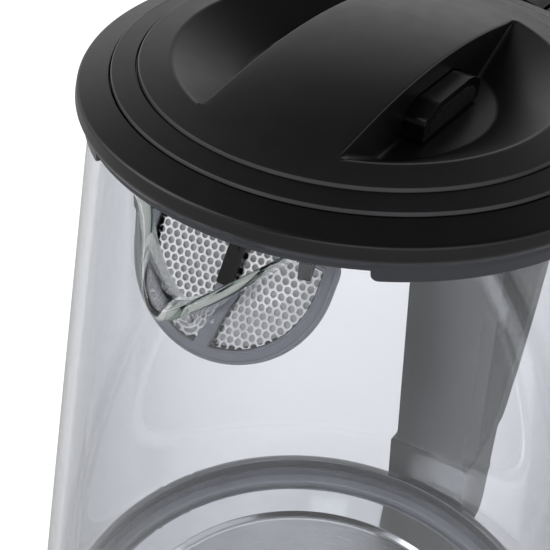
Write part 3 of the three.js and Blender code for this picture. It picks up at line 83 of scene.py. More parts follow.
GLASS_TOP = high("glass_jug")[2]
GLASS_FOOT = low("glass_jug")[2]
GLASS_FOOT_R = high("glass_jug")[0]
GLASS_NECK_R = 56.85
GLASS_WALL = 3.0
SPOUT_HALF_ANGLE = 20.7
SPOUT_REACH = 11.0
SPOUT_DROP = 15.2
SPOUT_START = 29.4
SPOUT_DROOP = 18.0
SPOUT_TIP_ROUND = 0.06
SPOUT_FULLNESS = 1.5

COLLAR_R = high("collar")[0]
COLLAR_SEAM_Z = 4.8
COLLAR_EDGE_Z = 2.8
COLLAR_BAND_Z = -1.9
COLLAR_LOWER_Z = -2.9
COLLAR_SKIRT_Z = -5.4
SKIRT_CUT_ANGLE = 31.5
COLLAR_LIP = 2.9
COLLAR_LIP_Z = -6.0
COLLAR_LEDGE = 2.4
LEDGE_Z = 2.5

LID_CROWN_Z = 12.5
LID_STEP_R = 47.0
RECESS_TOP_R = 40.4
RECESS_TOP_Z = 7.6
RECESS_FLOOR_R = 27.3
BRIDGE_HALF = 15.15
LID_WALL = 2.0
BUTTON_HALF = 12.3
BUTTON_LOW_Z = 0.6
BUTTON_HIGH_Z = 7.2
BUTTON_STAND = 4.6
PLUG_DEPTH = 8.5

FILTER_HALF_WIDTH = 21.2
FILTER_DROP = 20.4
FILTER_TOP = 7.0
FILTER_TILT = 32.0
FILTER_BAND = 2.8
FILTER_CENTRE_Y = -45.49
FILTER_CENTRE_Z = -15.5
FILTER_BAR = 3.2
HOLE_R = 0.69
HOLE_PITCH = 1.76
HOLE_TURN = 5.0  # degrees by which the rows of holes lie askew in the frame
SHEET_THICK = 0.3

TAPER = (GLASS_FOOT_R - GLASS_NECK_R) / (GLASS_TOP - GLASS_FOOT)
TAPER_ANGLE = math.atan(TAPER)
LIP_OUTER_R = GLASS_NECK_R - GLASS_WALL / math.cos(TAPER_ANGLE) - GAP
OPENING_R = LIP_OUTER_R - COLLAR_LIP
SEAM_R = OPENING_R + COLLAR_LEDGE
LID_R = SEAM_R - GAP
PLUG_R = OPENING_R - GAP

BAND_R = high("base_band")[0]
BAND_LOW = low("base_band")[2]
BAND_TOP = high("base_band")[2]
SHELL_LOW = low("jug_base_shell")[2]
SHELL_TOP = high("jug_base_shell")[2]
SHELL_R = high("jug_base_shell")[0]
PLATE_TOP = high("heater_plate")[2]  # top of its polished flange
BASE_R = high("base_top_shell")[0]
BASE_TOP = high("base_top_shell")[2]
BASE_LOW = low("base_top_shell")[2]
HANDLE_HALF = high("handle_cover")[0]
FOOT_TOP = high("handle_foot")[2]
FOOT_LOW = low("handle_foot")[2]
FOOT_Y = high("handle_foot")[1]
FOOT_HALF = high("handle_foot")[0]
PADDLE_END = high("switch_lever")[1]


def glass_radius(z):
    return GLASS_NECK_R + (GLASS_TOP - z) * TAPER


# ------------------------------------------------------------------ outlines
def rounded(outline, steps=CORNER_STEPS):
    """A closed outline whose points (a, b, radius) have become arcs; points (a, b) stay sharp."""
    made = []
    count = len(outline)
    for i, point in enumerate(outline):
        here = np.array(point[:2], float)
        radius = point[2] if len(point) > 2 else 0
        before = np.array(outline[i - 1][:2], float) - here
        after = np.array(outline[(i + 1) % count][:2], float) - here
        shorter = min(np.linalg.norm(before), np.linalg.norm(after))
        if radius <= 0 or shorter < 1e-6:
            made.append(tuple(here))
            continue
        before /= np.linalg.norm(before)
        after /= np.linalg.norm(after)
        half = math.acos(max(-1, min(1, float(before @ after)))) / 2
        reach = min(radius / math.tan(half), 0.48 * shorter)
        start, end = here + before * reach, here + after * reach
        for k in range(steps + 1):
            t = k / steps
            made.append(tuple((1 - t) ** 2 * start + 2 * t * (1 - t) * here + t * t * end))
    return made


def inset(outline, distance):
    """A closed counterclockwise outline moved inwards."""
    points = np.array(outline, float)
    before = points - np.roll(points, 1, axis=0)
    after = np.roll(points, -1, axis=0) - points
    before /= np.linalg.norm(before, axis=1)[:, None] + 1e-12
    after /= np.linalg.norm(after, axis=1)[:, None] + 1e-12
    normal = np.stack([-(before[:, 1] + after[:, 1]), before[:, 0] + after[:, 0]], axis=1)
    normal /= np.linalg.norm(normal, axis=1)[:, None] + 1e-12
    bend = np.clip((before * after).sum(axis=1), -1, 1)
    stretch = 1 / np.sqrt(np.maximum((1 + bend) / 2, 0.25))
    return points + normal * (distance * stretch)[:, None]


def arc(centre, radius, start, end, steps):
    """Points of an arc between two angles in degrees."""
    angles = np.radians(np.linspace(start, end, steps + 1))
    return [(centre[0] + radius * math.cos(a), centre[1] + radius * math.sin(a)) for a in angles]


# ------------------------------------------------------------------ meshes
class Solid:
    """Vertices and faces of one closed piece, in millimetres."""

    def __init__(self, verts, faces):
        self.verts = np.array(verts, float)
        self.faces = [tuple(int(i) for i in f) for f in faces]

    def moved(self, x=0, y=0, z=0):
        return Solid(self.verts + np.array([x, y, z]), self.faces)

    def turned(self, matrix):
        turn = np.array(matrix.to_3x3())
        return Solid(self.verts @ turn.T, self.faces)

    def mirrored(self):
        return Solid(self.verts * np.array([-1, 1, 1]), [f[::-1] for f in self.faces])

    def plus(self, other):
        shift = len(self.verts)
        faces = self.faces + [tuple(i + shift for i in f) for f in other.faces]
        return Solid(np.vstack([self.verts, other.verts]), faces)


def joined(solids):
    whole = solids[0]
    for piece in solids[1:]:
        whole = whole.plus(piece)
    return whole


def lathe(outline, sides=ROUND):
    """A closed outline of (radius, height) turned round Z."""
    verts, rows = [], []
    for r, z in outline:
        if r < 1e-6:
            rows.append([len(verts)] * sides)
            verts.append((0, 0, z))
            continue
        rows.append(list(range(len(verts), len(verts) + sides)))
        for i in range(sides):
            a = 2 * math.pi * i / sides
            verts.append((r * math.cos(a), r * math.sin(a), z))
    faces = []
    for j in range(len(rows)):
        a, b = rows[j], rows[(j + 1) % len(rows)]
        for i in range(sides):
            k = (i + 1) % sides
            loop = list(dict.fromkeys([a[i], a[k], b[k], b[i]]))
            if len(loop) > 2:
                faces.append(loop)
    return Solid(verts, faces)


def loft(sections, round_trip=False):
    """Closed sections of equally many points, joined one to the next; ends are capped."""
    count = len(sections[0])
    verts = [p for section in sections for p in section]
    faces = []
    last = len(sections) if round_trip else len(sections) - 1
    for s in range(last):
        a, b = s * count, ((s + 1) % len(sections)) * count
        for i in range(count):
            k = (i + 1) % count
            faces.append((a + i, a + k, b + k, b + i))
    if not round_trip:
        faces.append(tuple(range(count))[::-1])
        faces.append(tuple(last * count + i for i in range(count)))
    return Solid(verts, faces)


AXES = {"x": (1, 2, 0), "y": (2, 0, 1), "z": (0, 1, 2)}


def prism(outline, start, end, axis="z", edge=0.0, start_edge=None):
    """An outline given a thickness along an axis, with its end edges rounded.

    Along x the outline holds (y, z), along y it holds (z, x) and along z it holds (x, y).
    """
    first = edge if start_edge is None else start_edge
    steps = 4
    if first <= 0:
        stations = [(start, 0.0)]
    else:
        stations = [(start + first - first * math.cos(math.pi / 2 * k / steps),
                     first - first * math.sin(math.pi / 2 * k / steps)) for k in range(steps + 1)]
    if edge <= 0:
        stations.append((end, 0.0))
    else:
        stations += [(end - edge + edge * math.sin(math.pi / 2 * k / steps),
                      edge - edge * math.cos(math.pi / 2 * k / steps)) for k in range(steps + 1)]
    place = AXES[axis]
    sections = []
    for at, shrink in stations:
        flat = inset(outline, shrink)
        solid = np.empty((len(flat), 3))
        solid[:, place[0]] = flat[:, 0]
        solid[:, place[1]] = flat[:, 1]
        solid[:, place[2]] = at
        sections.append(solid)
    return loft(sections)


def block(x, y, z, corner=0.0, edge=0.0):
    """A block with rounded vertical corners and rounded top and bottom edges."""
    outline = rounded([(x[0], y[0], corner), (x[1], y[0], corner), (x[1], y[1], corner),
                       (x[0], y[1], corner)])
    return prism(outline, z[0], z[1], "z", edge)


def as_object(name, solid):
    mesh = bpy.data.meshes.new(name)
    mesh.from_pydata((solid.verts * MM).tolist(), [], solid.faces)
    bm = bmesh.new()
    bm.from_mesh(mesh)
    bmesh.ops.remove_doubles(bm, verts=bm.verts, dist=0.002 * MM)
    bmesh.ops.dissolve_degenerate(bm, edges=bm.edges, dist=0.001 * MM)
    bmesh.ops.recalc_face_normals(bm, faces=bm.faces)
    bm.to_mesh(mesh)
    bm.free()
    obj = bpy.data.objects.new(name, mesh)
    bpy.context.scene.collection.objects.link(obj)
    return obj


def cut(obj, cutter, operation="DIFFERENCE"):
    """Cuts one closed solid out of an object for good, or with UNION joins it on."""
    tool = as_object("cutter", cutter)
    modifier = obj.modifiers.new("cut", "BOOLEAN")
    modifier.operation = operation
    modifier.solver = "EXACT"
    modifier.object = tool
    depsgraph = bpy.context.evaluated_depsgraph_get()
    made = bpy.data.meshes.new_from_object(obj.evaluated_get(depsgraph))
    obj.modifiers.clear()
    old, obj.data = obj.data, made
    bpy.data.meshes.remove(old)
    bpy.data.objects.remove(tool, do_unlink=True)


def show(obj, body, material, nodes=(), smooth=38):
    """Shades an object, gives it its material and ties it to the frame."""
    if isinstance(obj, tuple):
        obj = as_object(*obj)
    mesh = obj.data
    mesh.shade_smooth()
    mesh.set_sharp_from_angle(angle=math.radians(smooth))
    weighted = obj.modifiers.new("normals", "WEIGHTED_NORMAL")
    weighted.keep_sharp = True
    mesh.materials.clear()
    mesh.materials.append(material)
    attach(obj, body)
    if nodes:
        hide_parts(*nodes)
    return obj


# ------------------------------------------------------------------ materials
def colour_ramp(nodes, links, value, *stops):
    """Turns a value into a colour between two stops, each given as (position, colour)."""
    ramp = nodes.new("ShaderNodeValToRGB")
    for element, (position, colour) in zip(ramp.color_ramp.elements, stops):
        element.position = position
        element.color = (*colour, 1)
    links.new(value, ramp.inputs[0])
    return ramp.outputs[0]


def mixed(nodes, links, share, first, second):
    """A mix of two shaders, in which share says how much there is of the second."""
    mix = nodes.new("ShaderNodeMixShader")
    for socket, value in zip(mix.inputs, (share, first, second)):
        links.new(value, socket)
    return mix.outputs[0]


def ray_flags(nodes, links):
    """1 for rays seen straight or through glass, and 1 for mirrored rays."""
    rays = nodes.new("ShaderNodeLightPath")
    plain = nodes.new("ShaderNodeMath")
    plain.operation = "MAXIMUM"
    links.new(rays.outputs["Is Camera Ray"], plain.inputs[0])
    links.new(rays.outputs["Is Transmission Ray"], plain.inputs[1])
    return plain.outputs[0], rays.outputs["Is Glossy Ray"]


class Look:
    """A node material built round one Principled shader."""

    def __init__(self, name, colour, roughness, metallic=0.0, **sockets):
        self.material = bpy.data.materials.new(name)
        self.material.use_nodes = True
        self.nodes = self.material.node_tree.nodes
        self.links = self.material.node_tree.links
        self.shader = self.nodes["Principled BSDF"]
        self.shader.inputs["Base Color"].default_value = (*colour, 1)
        self.shader.inputs["Roughness"].default_value = roughness
        self.shader.inputs["Metallic"].default_value = metallic
        for socket, value in sockets.items():
            self.shader.inputs[socket.replace("_", " ")].default_value = value
        self.place = self.nodes.new("ShaderNodeTexCoord").outputs["Object"]

    def node(self, kind, **inputs):
        made = self.nodes.new(kind)
        for socket, value in inputs.items():
            made.inputs[socket.replace("_", " ")].default_value = value
        return made

    def math(self, operation, a, b=None):
        made = self.nodes.new("ShaderNodeMath")
        made.operation = operation
        for socket, value in zip(made.inputs, (a, b)):
            if value is None:
                continue
            if isinstance(value, (int, float)):
                socket.default_value = value
            else:
                self.links.new(value, socket)
        return made.outputs[0]

    def noise(self, scale, detail=3.0, vector=None, roughness=0.5):
        made = self.node("ShaderNodeTexNoise", Scale=scale, Detail=detail, Roughness=roughness)
        self.links.new(vector or self.place, made.inputs["Vector"])
        return made.outputs["Fac"]

    def around(self, along, across):
        """Coordinates that run round the Z axis, so that noise becomes turning marks."""
        parts = self.nodes.new("ShaderNodeSeparateXYZ")
        self.links.new(self.place, parts.inputs[0])
        x, y, z = parts.outputs
        radius = self.math("SQRT", self.math("ADD", self.math("MULTIPLY", x, x),
                                             self.math("MULTIPLY", y, y)))
        made = self.nodes.new("ShaderNodeCombineXYZ")
        self.links.new(self.math("MULTIPLY", radius, across), made.inputs[0])
        self.links.new(self.math("MULTIPLY", self.math("ARCTAN2", y, x), along), made.inputs[1])
        self.links.new(self.math("MULTIPLY", z, across), made.inputs[2])
        return made.outputs[0]

    def spread(self, value, lowest, highest, socket):
        """Sends a noise between two values to one of the shader's sockets."""
        made = self.nodes.new("ShaderNodeMapRange")
        made.inputs["From Min"].default_value = 0.3
        made.inputs["From Max"].default_value = 0.7
        made.inputs["To Min"].default_value = lowest
        made.inputs["To Max"].default_value = highest
        self.links.new(value, made.inputs["Value"])
        self.links.new(made.outputs[0], self.shader.inputs[socket])

    def ramp(self, value, *stops):
        """Colours the shader by a value, between two stops of (position, colour)."""
        colour = colour_ramp(self.nodes, self.links, value, *stops)
        self.links.new(colour, self.shader.inputs["Base Color"])

    def tint(self, value, dark, light):
        """Lets a noise run the colour between two near ones."""
        self.ramp(value, (0.3, dark), (0.7, light))

    def bump(self, value, strength, depth):
        made = self.node("ShaderNodeBump", Strength=strength, Distance=depth * MM)
        self.links.new(value, made.inputs["Height"])
        self.links.new(made.outputs[0], self.shader.inputs["Normal"])


def moulded(name, dark, light, roughness, grain=0.25, gloss=0.5):
    """Moulded plastic with a fine grain."""
    look = Look(name, light, roughness, Specular_IOR_Level=gloss)
    look.tint(look.noise(60), dark, light)
    look.spread(look.noise(220), roughness - 0.02, roughness + 0.02, "Roughness")
    look.bump(look.noise(2600, 2.0), grain, 0.05)
    return look.material


def turned_steel(name, colour, roughness, marks, stretch=0.0):
    """Steel with marks that run round the axis; stretch draws its highlights out across them."""
    look = Look(name, colour, roughness, metallic=1.0, Anisotropic=stretch)
    if stretch:
        grain = look.nodes.new("ShaderNodeTangent")
        grain.axis = "Z"
        look.links.new(grain.outputs[0], look.shader.inputs["Tangent"])
    brushed = look.noise(1.0, 4.0, look.around(2.0, 2400.0), 0.65)
    look.spread(brushed, roughness * 0.7, roughness * 1.35, "Roughness")
    look.tint(look.noise(90), tuple(c * 0.93 for c in colour), colour)
    look.bump(brushed, marks, 0.02)
    return look.material


def plain_metal(name, colour, roughness):
    look = Look(name, colour, roughness, metallic=1.0)
    look.tint(look.noise(300), tuple(c * 0.85 for c in colour), colour)
    look.spread(look.noise(900), roughness - 0.06, roughness + 0.08, "Roughness")
    look.bump(look.noise(1800), 0.15, 0.02)
    return look.material


def clear_glass():
    """Clear glass whose tint deepens where it is seen at a slant: partly the longer path through
    the wall, partly a painted reflection that greys its edges.

    A ray that has run on inside the wall leaves it straight, so that thick edges are not black.
    """
    look = Look("clear_glass", (0.9, 0.905, 0.92), 0.0, IOR=1.5)
    look.shader.inputs["Transmission Weight"].default_value = 1.0
    look.spread(look.noise(25), 0.0, 0.012, "Roughness")
    slant = look.node("ShaderNodeLayerWeight", Blend=0.5)
    # Painted reflection: the base colour greys where the wall is seen at a slant.
    look.ramp(slant.outputs["Facing"], (0.2, (0.845, 0.85, 0.88)), (0.7, (0.42, 0.43, 0.46)))
    absorb = look.node("ShaderNodeVolumeAbsorption", Color=(0.6, 0.68, 0.64, 1), Density=16.0)
    out = look.nodes["Material Output"]
    look.links.new(absorb.outputs[0], out.inputs["Volume"])
    clear = look.nodes.new("ShaderNodeBsdfTransparent")
    depth = look.nodes.new("ShaderNodeLightPath").outputs["Ray Depth"]
    both = mixed(look.nodes, look.links, look.math("GREATER_THAN", depth, 4.5),
                 look.shader.outputs[0], clear.outputs[0])
    look.links.new(both, out.inputs["Surface"])
    return look.material


def collar_with_painted_reflection():
    """The black plastic with a painted reflection: paler from the collar's widest level down, where
    the band mirrors the pale floor.
    """
    look = Look("collar_with_painted_reflection", (0.004, 0.004, 0.005), 0.36)
    look.shader.inputs["Specular IOR Level"].default_value = 0.4
    parts = look.nodes.new("ShaderNodeSeparateXYZ")
    look.links.new(look.place, parts.inputs[0])
    reflection_height = look.math("MULTIPLY", look.math("SUBTRACT", parts.outputs[2], (RIM - 0.9) * MM), 1 / MM)
    # Painted reflection: the base colour is paler below RIM - 0.9 mm and black from RIM + 0.1 mm
    # up.
    look.ramp(reflection_height, (0.0, (0.05, 0.052, 0.062)), (1.0, (0.0035, 0.0035, 0.004)))
    look.spread(look.noise(220), 0.33, 0.37, "Roughness")
    look.bump(look.noise(2600, 2.0), 0.25, 0.05)
    return look.material


BLACK = moulded("black_plastic", (0.0033, 0.0033, 0.0038), (0.0042, 0.0042, 0.005), 0.36,
                gloss=0.36)
BUTTON_BLACK = moulded("button_plastic", (0.002, 0.002, 0.0025), (0.003, 0.003, 0.0035), 0.3,
                       0.08, 0.22)
# A paler, shinier plastic for the lid's edge rings: a painted highlight on those edges.
EDGE_HIGHLIGHT = moulded("edge_highlight_plastic", (0.035, 0.035, 0.038), (0.06, 0.06, 0.064), 0.25, 0.05)
COLLAR_PAINTED_REFLECTION = collar_with_painted_reflection()
SLATE = moulded("slate_plastic", (0.24, 0.255, 0.3), (0.27, 0.285, 0.335), 0.4, 0.12)
NYLON = moulded("nylon", (0.62, 0.6, 0.54), (0.7, 0.68, 0.62), 0.5)
RUBBER = moulded("black_rubber", (0.014, 0.014, 0.016), (0.022, 0.022, 0.024), 0.72, 0.4)
SILICONE = moulded("grey_silicone", (0.3, 0.32, 0.36), (0.36, 0.38, 0.42), 0.5, 0.15)
SILICONE_DARK = moulded("dark_silicone", (0.09, 0.096, 0.12), (0.13, 0.138, 0.168), 0.45, 0.12)
STEEL = turned_steel("brushed_steel", (0.76, 0.77, 0.79), 0.32, 0.25)
DISC_STEEL = turned_steel("disc_steel", (0.5, 0.51, 0.53), 0.34, 0.08, 0.7)
POLISHED = turned_steel("polished_steel", (0.78, 0.79, 0.81), 0.1, 0.06)
SHEET_STEEL = plain_metal("sheet_steel", (0.93, 0.93, 0.94), 0.3)
SCREW_STEEL = plain_metal("screw_steel", (0.55, 0.56, 0.58), 0.3)
ALUMINIUM = plain_metal("aluminium", (0.6, 0.61, 0.62), 0.42)
BRASS = plain_metal("brass", (0.72, 0.53, 0.22), 0.3)
GAUZE = moulded("gauze", (0.5, 0.505, 0.51), (0.56, 0.565, 0.57), 0.6)
GLASS = clear_glass()

# ------------------------------------------------------------------ slots for the CAD nodes
FINISH = {
    "black_plastic": BLACK, "slate_plastic": SLATE, "clear_glass": GLASS, "brushed_steel": STEEL,
    "polished_steel": POLISHED, "black_rubber": RUBBER, "grey_silicone": SILICONE,
    "aluminium": ALUMINIUM, "brass": BRASS, "nylon": NYLON,
}
for part in frame["record"]["subparts"]:
    node = frame["nodes"][part["node"]]
    node.data.materials.clear()
    node.data.materials.append(FINISH[part["material_slot"]])

# ------------------------------------------------------------------ glass jug
def bezier(points, t):
    a, b, c, d = points
    u = 1 - t
    place = u ** 3 * a + 3 * u * u * t * b + 3 * u * t * t * c + t ** 3 * d
    along = 3 * u * u * (b - a) + 6 * u * t * (c - b) + 3 * t * t * (d - c)
    return place, along / np.linalg.norm(along)


def glass_section(angle):
    """The wall's closed outline of (radius, height) at an angle from the spout, in degrees."""
    away = abs(angle) / SPOUT_HALF_ANGLE
    swell = (0.5 + 0.5 * math.cos(math.pi * min(away, 1))) ** SPOUT_FULLNESS
    k = SPOUT_TIP_ROUND
    vee = max(0, 1 - (math.hypot(away, k) - k) / (math.hypot(1, k) - k))
    rim = GLASS_TOP - SPOUT_DROP * vee
    start = GLASS_TOP - SPOUT_START
    up = math.pi / 2 + TAPER_ANGLE
    heading = up - (up + math.radians(SPOUT_DROOP)) * swell ** 0.8
    pull = 3 + 3.5 * swell
    rim_r = glass_radius(rim) + SPOUT_REACH * swell
    rise = (rim - start) * 0.62
    control = [np.array(p) for p in (
        (glass_radius(start), start),
        (glass_radius(start) - TAPER * rise, start + rise),
        (rim_r - pull * math.cos(heading), rim - pull * math.sin(heading)),
        (rim_r, rim))]
    half = GLASS_WALL / 2
    length = sum(np.linalg.norm(b - a) for a, b in zip(control, control[1:]))
    stop = 1 - half / length
    outer, inner = [], []
    for level in np.linspace(GLASS_FOOT + 1, start - 3, 12):
        outer.append((glass_radius(level), level))
        inner.append((glass_radius(level) - GLASS_WALL / math.cos(TAPER_ANGLE), level))
    steps = 20
    for i in range(steps + 1):
        place, along = bezier(control, stop * i / steps)
        side = np.array([-along[1], along[0]])
        outer.append(tuple(place))
        inner.append(tuple(place + GLASS_WALL * side))
    middle = place + half * side
    rim_arc = [tuple(middle - half * math.cos(a) * side + half * math.sin(a) * along)
               for a in np.linspace(0, math.pi, 9)[1:-1]]
    foot = glass_radius(GLASS_FOOT)
    wall = GLASS_WALL / math.cos(TAPER_ANGLE)
    foot_line = [(foot - wall + 0.7, GLASS_FOOT), (foot - 0.7, GLASS_FOOT)]
    return outer + rim_arc + inner[::-1] + foot_line


def round_the_axis(angles, section):
    """Sections that depend on the angle from the spout, joined all the way round."""
    made = []
    for angle in angles:
        turn = math.radians(angle)
        made.append([(r * math.sin(turn), -r * math.cos(turn), z) for r, z in section(angle)])
    return loft(made, round_trip=True)


spout_angles = np.concatenate([
    np.arange(0, 3, 0.3), np.arange(3, 27, 0.75), np.arange(27, 180, 2.25)])
glass_angles = sorted(
    {float(round(a, 4)) for a in (*spout_angles, *-spout_angles, 180.0)} - {-180.0})
show(as_object("glass_wall", round_the_axis(glass_angles, glass_section)), "jug", GLASS,
     ["glass_jug"], smooth=60)

# ------------------------------------------------------------------ collar
CHANNEL_TOP = GLASS_TOP - RIM + 1.6
SKIRT_INNER_R = glass_radius(RIM + COLLAR_SKIRT_Z) + GAP
collar_outline = rounded([
    (SEAM_R, COLLAR_SEAM_Z - 0.3, 0.2),
    (COLLAR_R - 0.5, COLLAR_EDGE_Z, 1.0),
    (COLLAR_R, 0, 1.5),
    (COLLAR_R - 1.2, COLLAR_BAND_Z, 0.2),
    (COLLAR_R - 1.55, COLLAR_BAND_Z - 0.12, 0.1),
    (COLLAR_R - 1.35, COLLAR_LOWER_Z, 0.1),
    (COLLAR_R - 1.5, COLLAR_SKIRT_Z, 0.7),
    (SKIRT_INNER_R, COLLAR_SKIRT_Z, 0.3),
    (GLASS_NECK_R + GAP, CHANNEL_TOP),
    (LIP_OUTER_R, CHANNEL_TOP),
    (LIP_OUTER_R, COLLAR_LIP_Z, 0.5),
    (OPENING_R, COLLAR_LIP_Z, 0.5),
    (OPENING_R, LEDGE_Z, 0.2),
    (SEAM_R, LEDGE_Z),
])


def skirt_low(angle):
    """How low the collar reaches at an angle from the spout; the skirt's end corners are round."""
    corner = 1.6
    along = (abs(angle) - SKIRT_CUT_ANGLE) * math.radians(1) * COLLAR_R
    if along < 0:
        return COLLAR_LOWER_Z
    if along > corner:
        return COLLAR_SKIRT_Z
    return COLLAR_SKIRT_Z + corner - math.sqrt(corner ** 2 - (corner - along) ** 2)


def collar_section(angle):
    share = (skirt_low(angle) - COLLAR_LOWER_Z) / (COLLAR_SKIRT_Z - COLLAR_LOWER_Z)
    made = []
    for r, z in collar_outline:
        if z < COLLAR_LOWER_Z and r > LIP_OUTER_R + 0.2:
            z = COLLAR_LOWER_Z + (z - COLLAR_LOWER_Z) * share
        made.append((r, RIM + z))
    return made


skirt_angles = [SKIRT_CUT_ANGLE + s for s in (-0.02, 0, 0.1, 0.25, 0.45, 0.7, 1.0, 1.3, 1.6)]
collar_angles = sorted({*np.arange(-180, 180, 2.0), *skirt_angles, *[-a for a in skirt_angles]})
STEAM_SLOT_HALF = 6.0
STEAM_SLOT_TOP = 1.8
LATCH_HALF = 9.0
LATCH_TOP = -3.0
LATCH_LOW = -5.4
collar = round_the_axis(collar_angles, collar_section)
lug = block((STEAM_SLOT_HALF + 0.4, STEAM_SLOT_HALF + 6.4), (COLLAR_R - 1.5, COLLAR_R + 14),
            (RIM - 3.2, RIM + 0.8), 0.8, 0.3)
collar_object = as_object("neck_collar", collar)
cut(collar_object, block((-STEAM_SLOT_HALF, STEAM_SLOT_HALF), (OPENING_R - 2, COLLAR_R + 2),
                         (RIM + CHANNEL_TOP - 0.4, RIM + STEAM_SLOT_TOP)))
for side in (-1, 1):
    reach = sorted((side * (OPENING_R - 2), side * (OPENING_R + 1.7)))
    cut(collar_object, block(reach, (-LATCH_HALF - 0.6, LATCH_HALF + 0.6),
                             (RIM + LATCH_LOW - 0.3, RIM + LATCH_TOP + 0.6)))
show(collar_object, "jug", COLLAR_PAINTED_REFLECTION, ["collar"])
show(as_object("collar_lugs", joined([lug, lug.mirrored()])), "jug", BLACK)

# ------------------------------------------------------------------ lid
DOME_KNOTS = [(0, LID_CROWN_Z, 0.0), (15.4, 11.8, -0.093), (27, 10.2, -0.17),
              (RECESS_TOP_R, RECESS_TOP_Z, -0.195), (LID_STEP_R, 6.5, -0.15)]


def dome(r):
    """Height of the lid's dome over RIM at a radius."""
    for (r0, z0, s0), (r1, z1, s1) in zip(DOME_KNOTS, DOME_KNOTS[1:]):
        if r <= r1:
            break
    w = r1 - r0
    t = (r - r0) / w
    return ((2 * t ** 3 - 3 * t ** 2 + 1) * z0 + (t ** 3 - 2 * t ** 2 + t) * w * s0
            + (3 * t ** 2 - 2 * t ** 3) * z1 + (t ** 3 - t ** 2) * w * s1)


CONE_SLOPE = RECESS_TOP_Z / (RECESS_TOP_R - RECESS_FLOOR_R)
CREASE = 0.6
RIM_EDGE = 0.45
CAP_R = LID_STEP_R - 0.4


def recess(r):
    """Height of the recess's floor and cone, with a soft crease between them."""
    past = r - RECESS_FLOOR_R
    if past < -CREASE:
        return 0.0
    if past < CREASE:
        return CONE_SLOPE * (past + CREASE) ** 2 / (4 * CREASE)
    return CONE_SLOPE * past


def outside_bridge(r):
    """Recess or dome, whichever is lower, with the recess's upper edge rounded."""
    a, b = dome(r), recess(r)
    near = max(0.0, 1 - abs(a - b) / RIM_EDGE)
    return min(a, b) - near * near * RIM_EDGE / 4


TIP_R = 0.8
TIP_Y = math.sqrt((RECESS_TOP_R - TIP_R) ** 2 - (BRIDGE_HALF + TIP_R) ** 2)
TIP_END_Y = TIP_Y * RECESS_TOP_R / (RECESS_TOP_R - TIP_R)
TIP_END_X = (BRIDGE_HALF + TIP_R) * RECESS_TOP_R / (RECESS_TOP_R - TIP_R)


def chord(radius, y):
    return math.sqrt(max(0.0, radius * radius - y * y))


def lid_half(y, back):
    """Half a cross-section of the lid's middle at y, as (x, z) outwards; back is its depth."""
    far = abs(y)
    end = chord(CAP_R, far)
    if far <= TIP_Y:
        wall = BRIDGE_HALF
    elif far < TIP_END_Y:
        wall = BRIDGE_HALF + TIP_R - math.sqrt(TIP_R ** 2 - (far - TIP_Y) ** 2)
    else:
        wall = min(TIP_END_X, end * TIP_END_X / chord(CAP_R, TIP_END_Y))
    open_here = far < TIP_END_Y
    wall -= back if open_here else 0
    top = dome(math.hypot(wall, far)) - back
    foot_r = math.hypot(wall + 1, far)
    foot = outside_bridge(foot_r) - back
    drop = top - foot if open_here else 0
    small = min(1.0, max(drop, 0) / 2.0)
    over, under = 0.5 * small, 1.0 * small
    foot = outside_bridge(math.hypot(wall + under, far)) - back
    line = []
    for t in np.linspace(0, 1, 11)[:-1]:
        x = (wall - over) * t
        line.append((x, dome(math.hypot(x, far)) - back))
    for a in np.linspace(0, math.pi / 2, 5):
        line.append((wall - over + over * math.sin(a), top - over + over * math.cos(a)))
    for t in (0.33, 0.67):
        line.append((wall, (top - over) * (1 - t) + (foot + under) * t))
    for a in np.linspace(0, math.pi / 2, 6):
        line.append((wall + under - under * math.cos(a), foot + under - under * math.sin(a)))
    start = wall + under
    stops = [RECESS_FLOOR_R - CREASE, RECESS_FLOOR_R + CREASE, RECESS_TOP_R - 0.7,
             RECESS_TOP_R + 0.7, CAP_R]
    counts = [6, 4, 10, 8, 5]
    for stop, count in zip(stops, counts):
        finish = max(start, chord(stop, far)) if stop < CAP_R else end
        for t in np.linspace(0, 1, count + 1)[1:]:
            x = min(start + (finish - start) * t, end)
            line.append((x, outside_bridge(math.hypot(x, far)) - back))
        start = finish
    return line


def lid_section(y, back):
    half = lid_half(y, back)
    return [(-x, y, RIM + z) for x, z in half[:0:-1]] + [(x, y, RIM + z) for x, z in half]


lid_rows = sorted({*(CAP_R * math.sin(a) for a in np.radians(np.linspace(-89.9, 89.9, 121))),
                   *(s * y for s in (-1, 1) for y in np.linspace(TIP_Y - 0.5, TIP_END_Y, 18)),
                   *(s * (TIP_END_Y + 0.02) for s in (-1, 1))})
lid_middle = loft([lid_section(y, 0) + lid_section(y, LID_WALL)[::-1] for y in lid_rows])
lid_ring = lathe([(r, RIM + z) for r, z in rounded([
    (CAP_R - 0.8, dome(CAP_R - 0.8) - 0.01),
    (CAP_R, dome(CAP_R)),
    (LID_STEP_R, dome(LID_STEP_R), 0.15),
    (LID_STEP_R + 0.22, 5.85),
    (LID_STEP_R + 0.4, 5.3),
    (LID_STEP_R + 0.6, 5.3),
    (LID_STEP_R + 0.7, 5.95, 0.12),
    (LID_R - 0.18, COLLAR_SEAM_Z + 0.3, 0.12),
    (LID_R, COLLAR_SEAM_Z - 0.4, 0.12),
    (LID_R, LEDGE_Z + GAP, 0.2),
    (PLUG_R - 1, LEDGE_Z + GAP),
    (CAP_R - 0.8, dome(CAP_R - 0.8) - LID_WALL),
])], FINE_ROUND)


def button_outline(grown=0.0):
    """The button's (y, z) outline: flat below, a crowned top that falls in wide rounded corners."""
    half = BUTTON_HALF + grown
    low_z, high_z = BUTTON_LOW_Z - grown, BUTTON_HIGH_Z + grown
    return rounded([
        (-half, low_z, 0.4), (half, low_z, 0.4), (half, high_z - 2.2, 2.6),
        (7.5, high_z, 6), (-7.5, high_z, 6), (-half, high_z - 2.2, 2.6),
    ], 8)


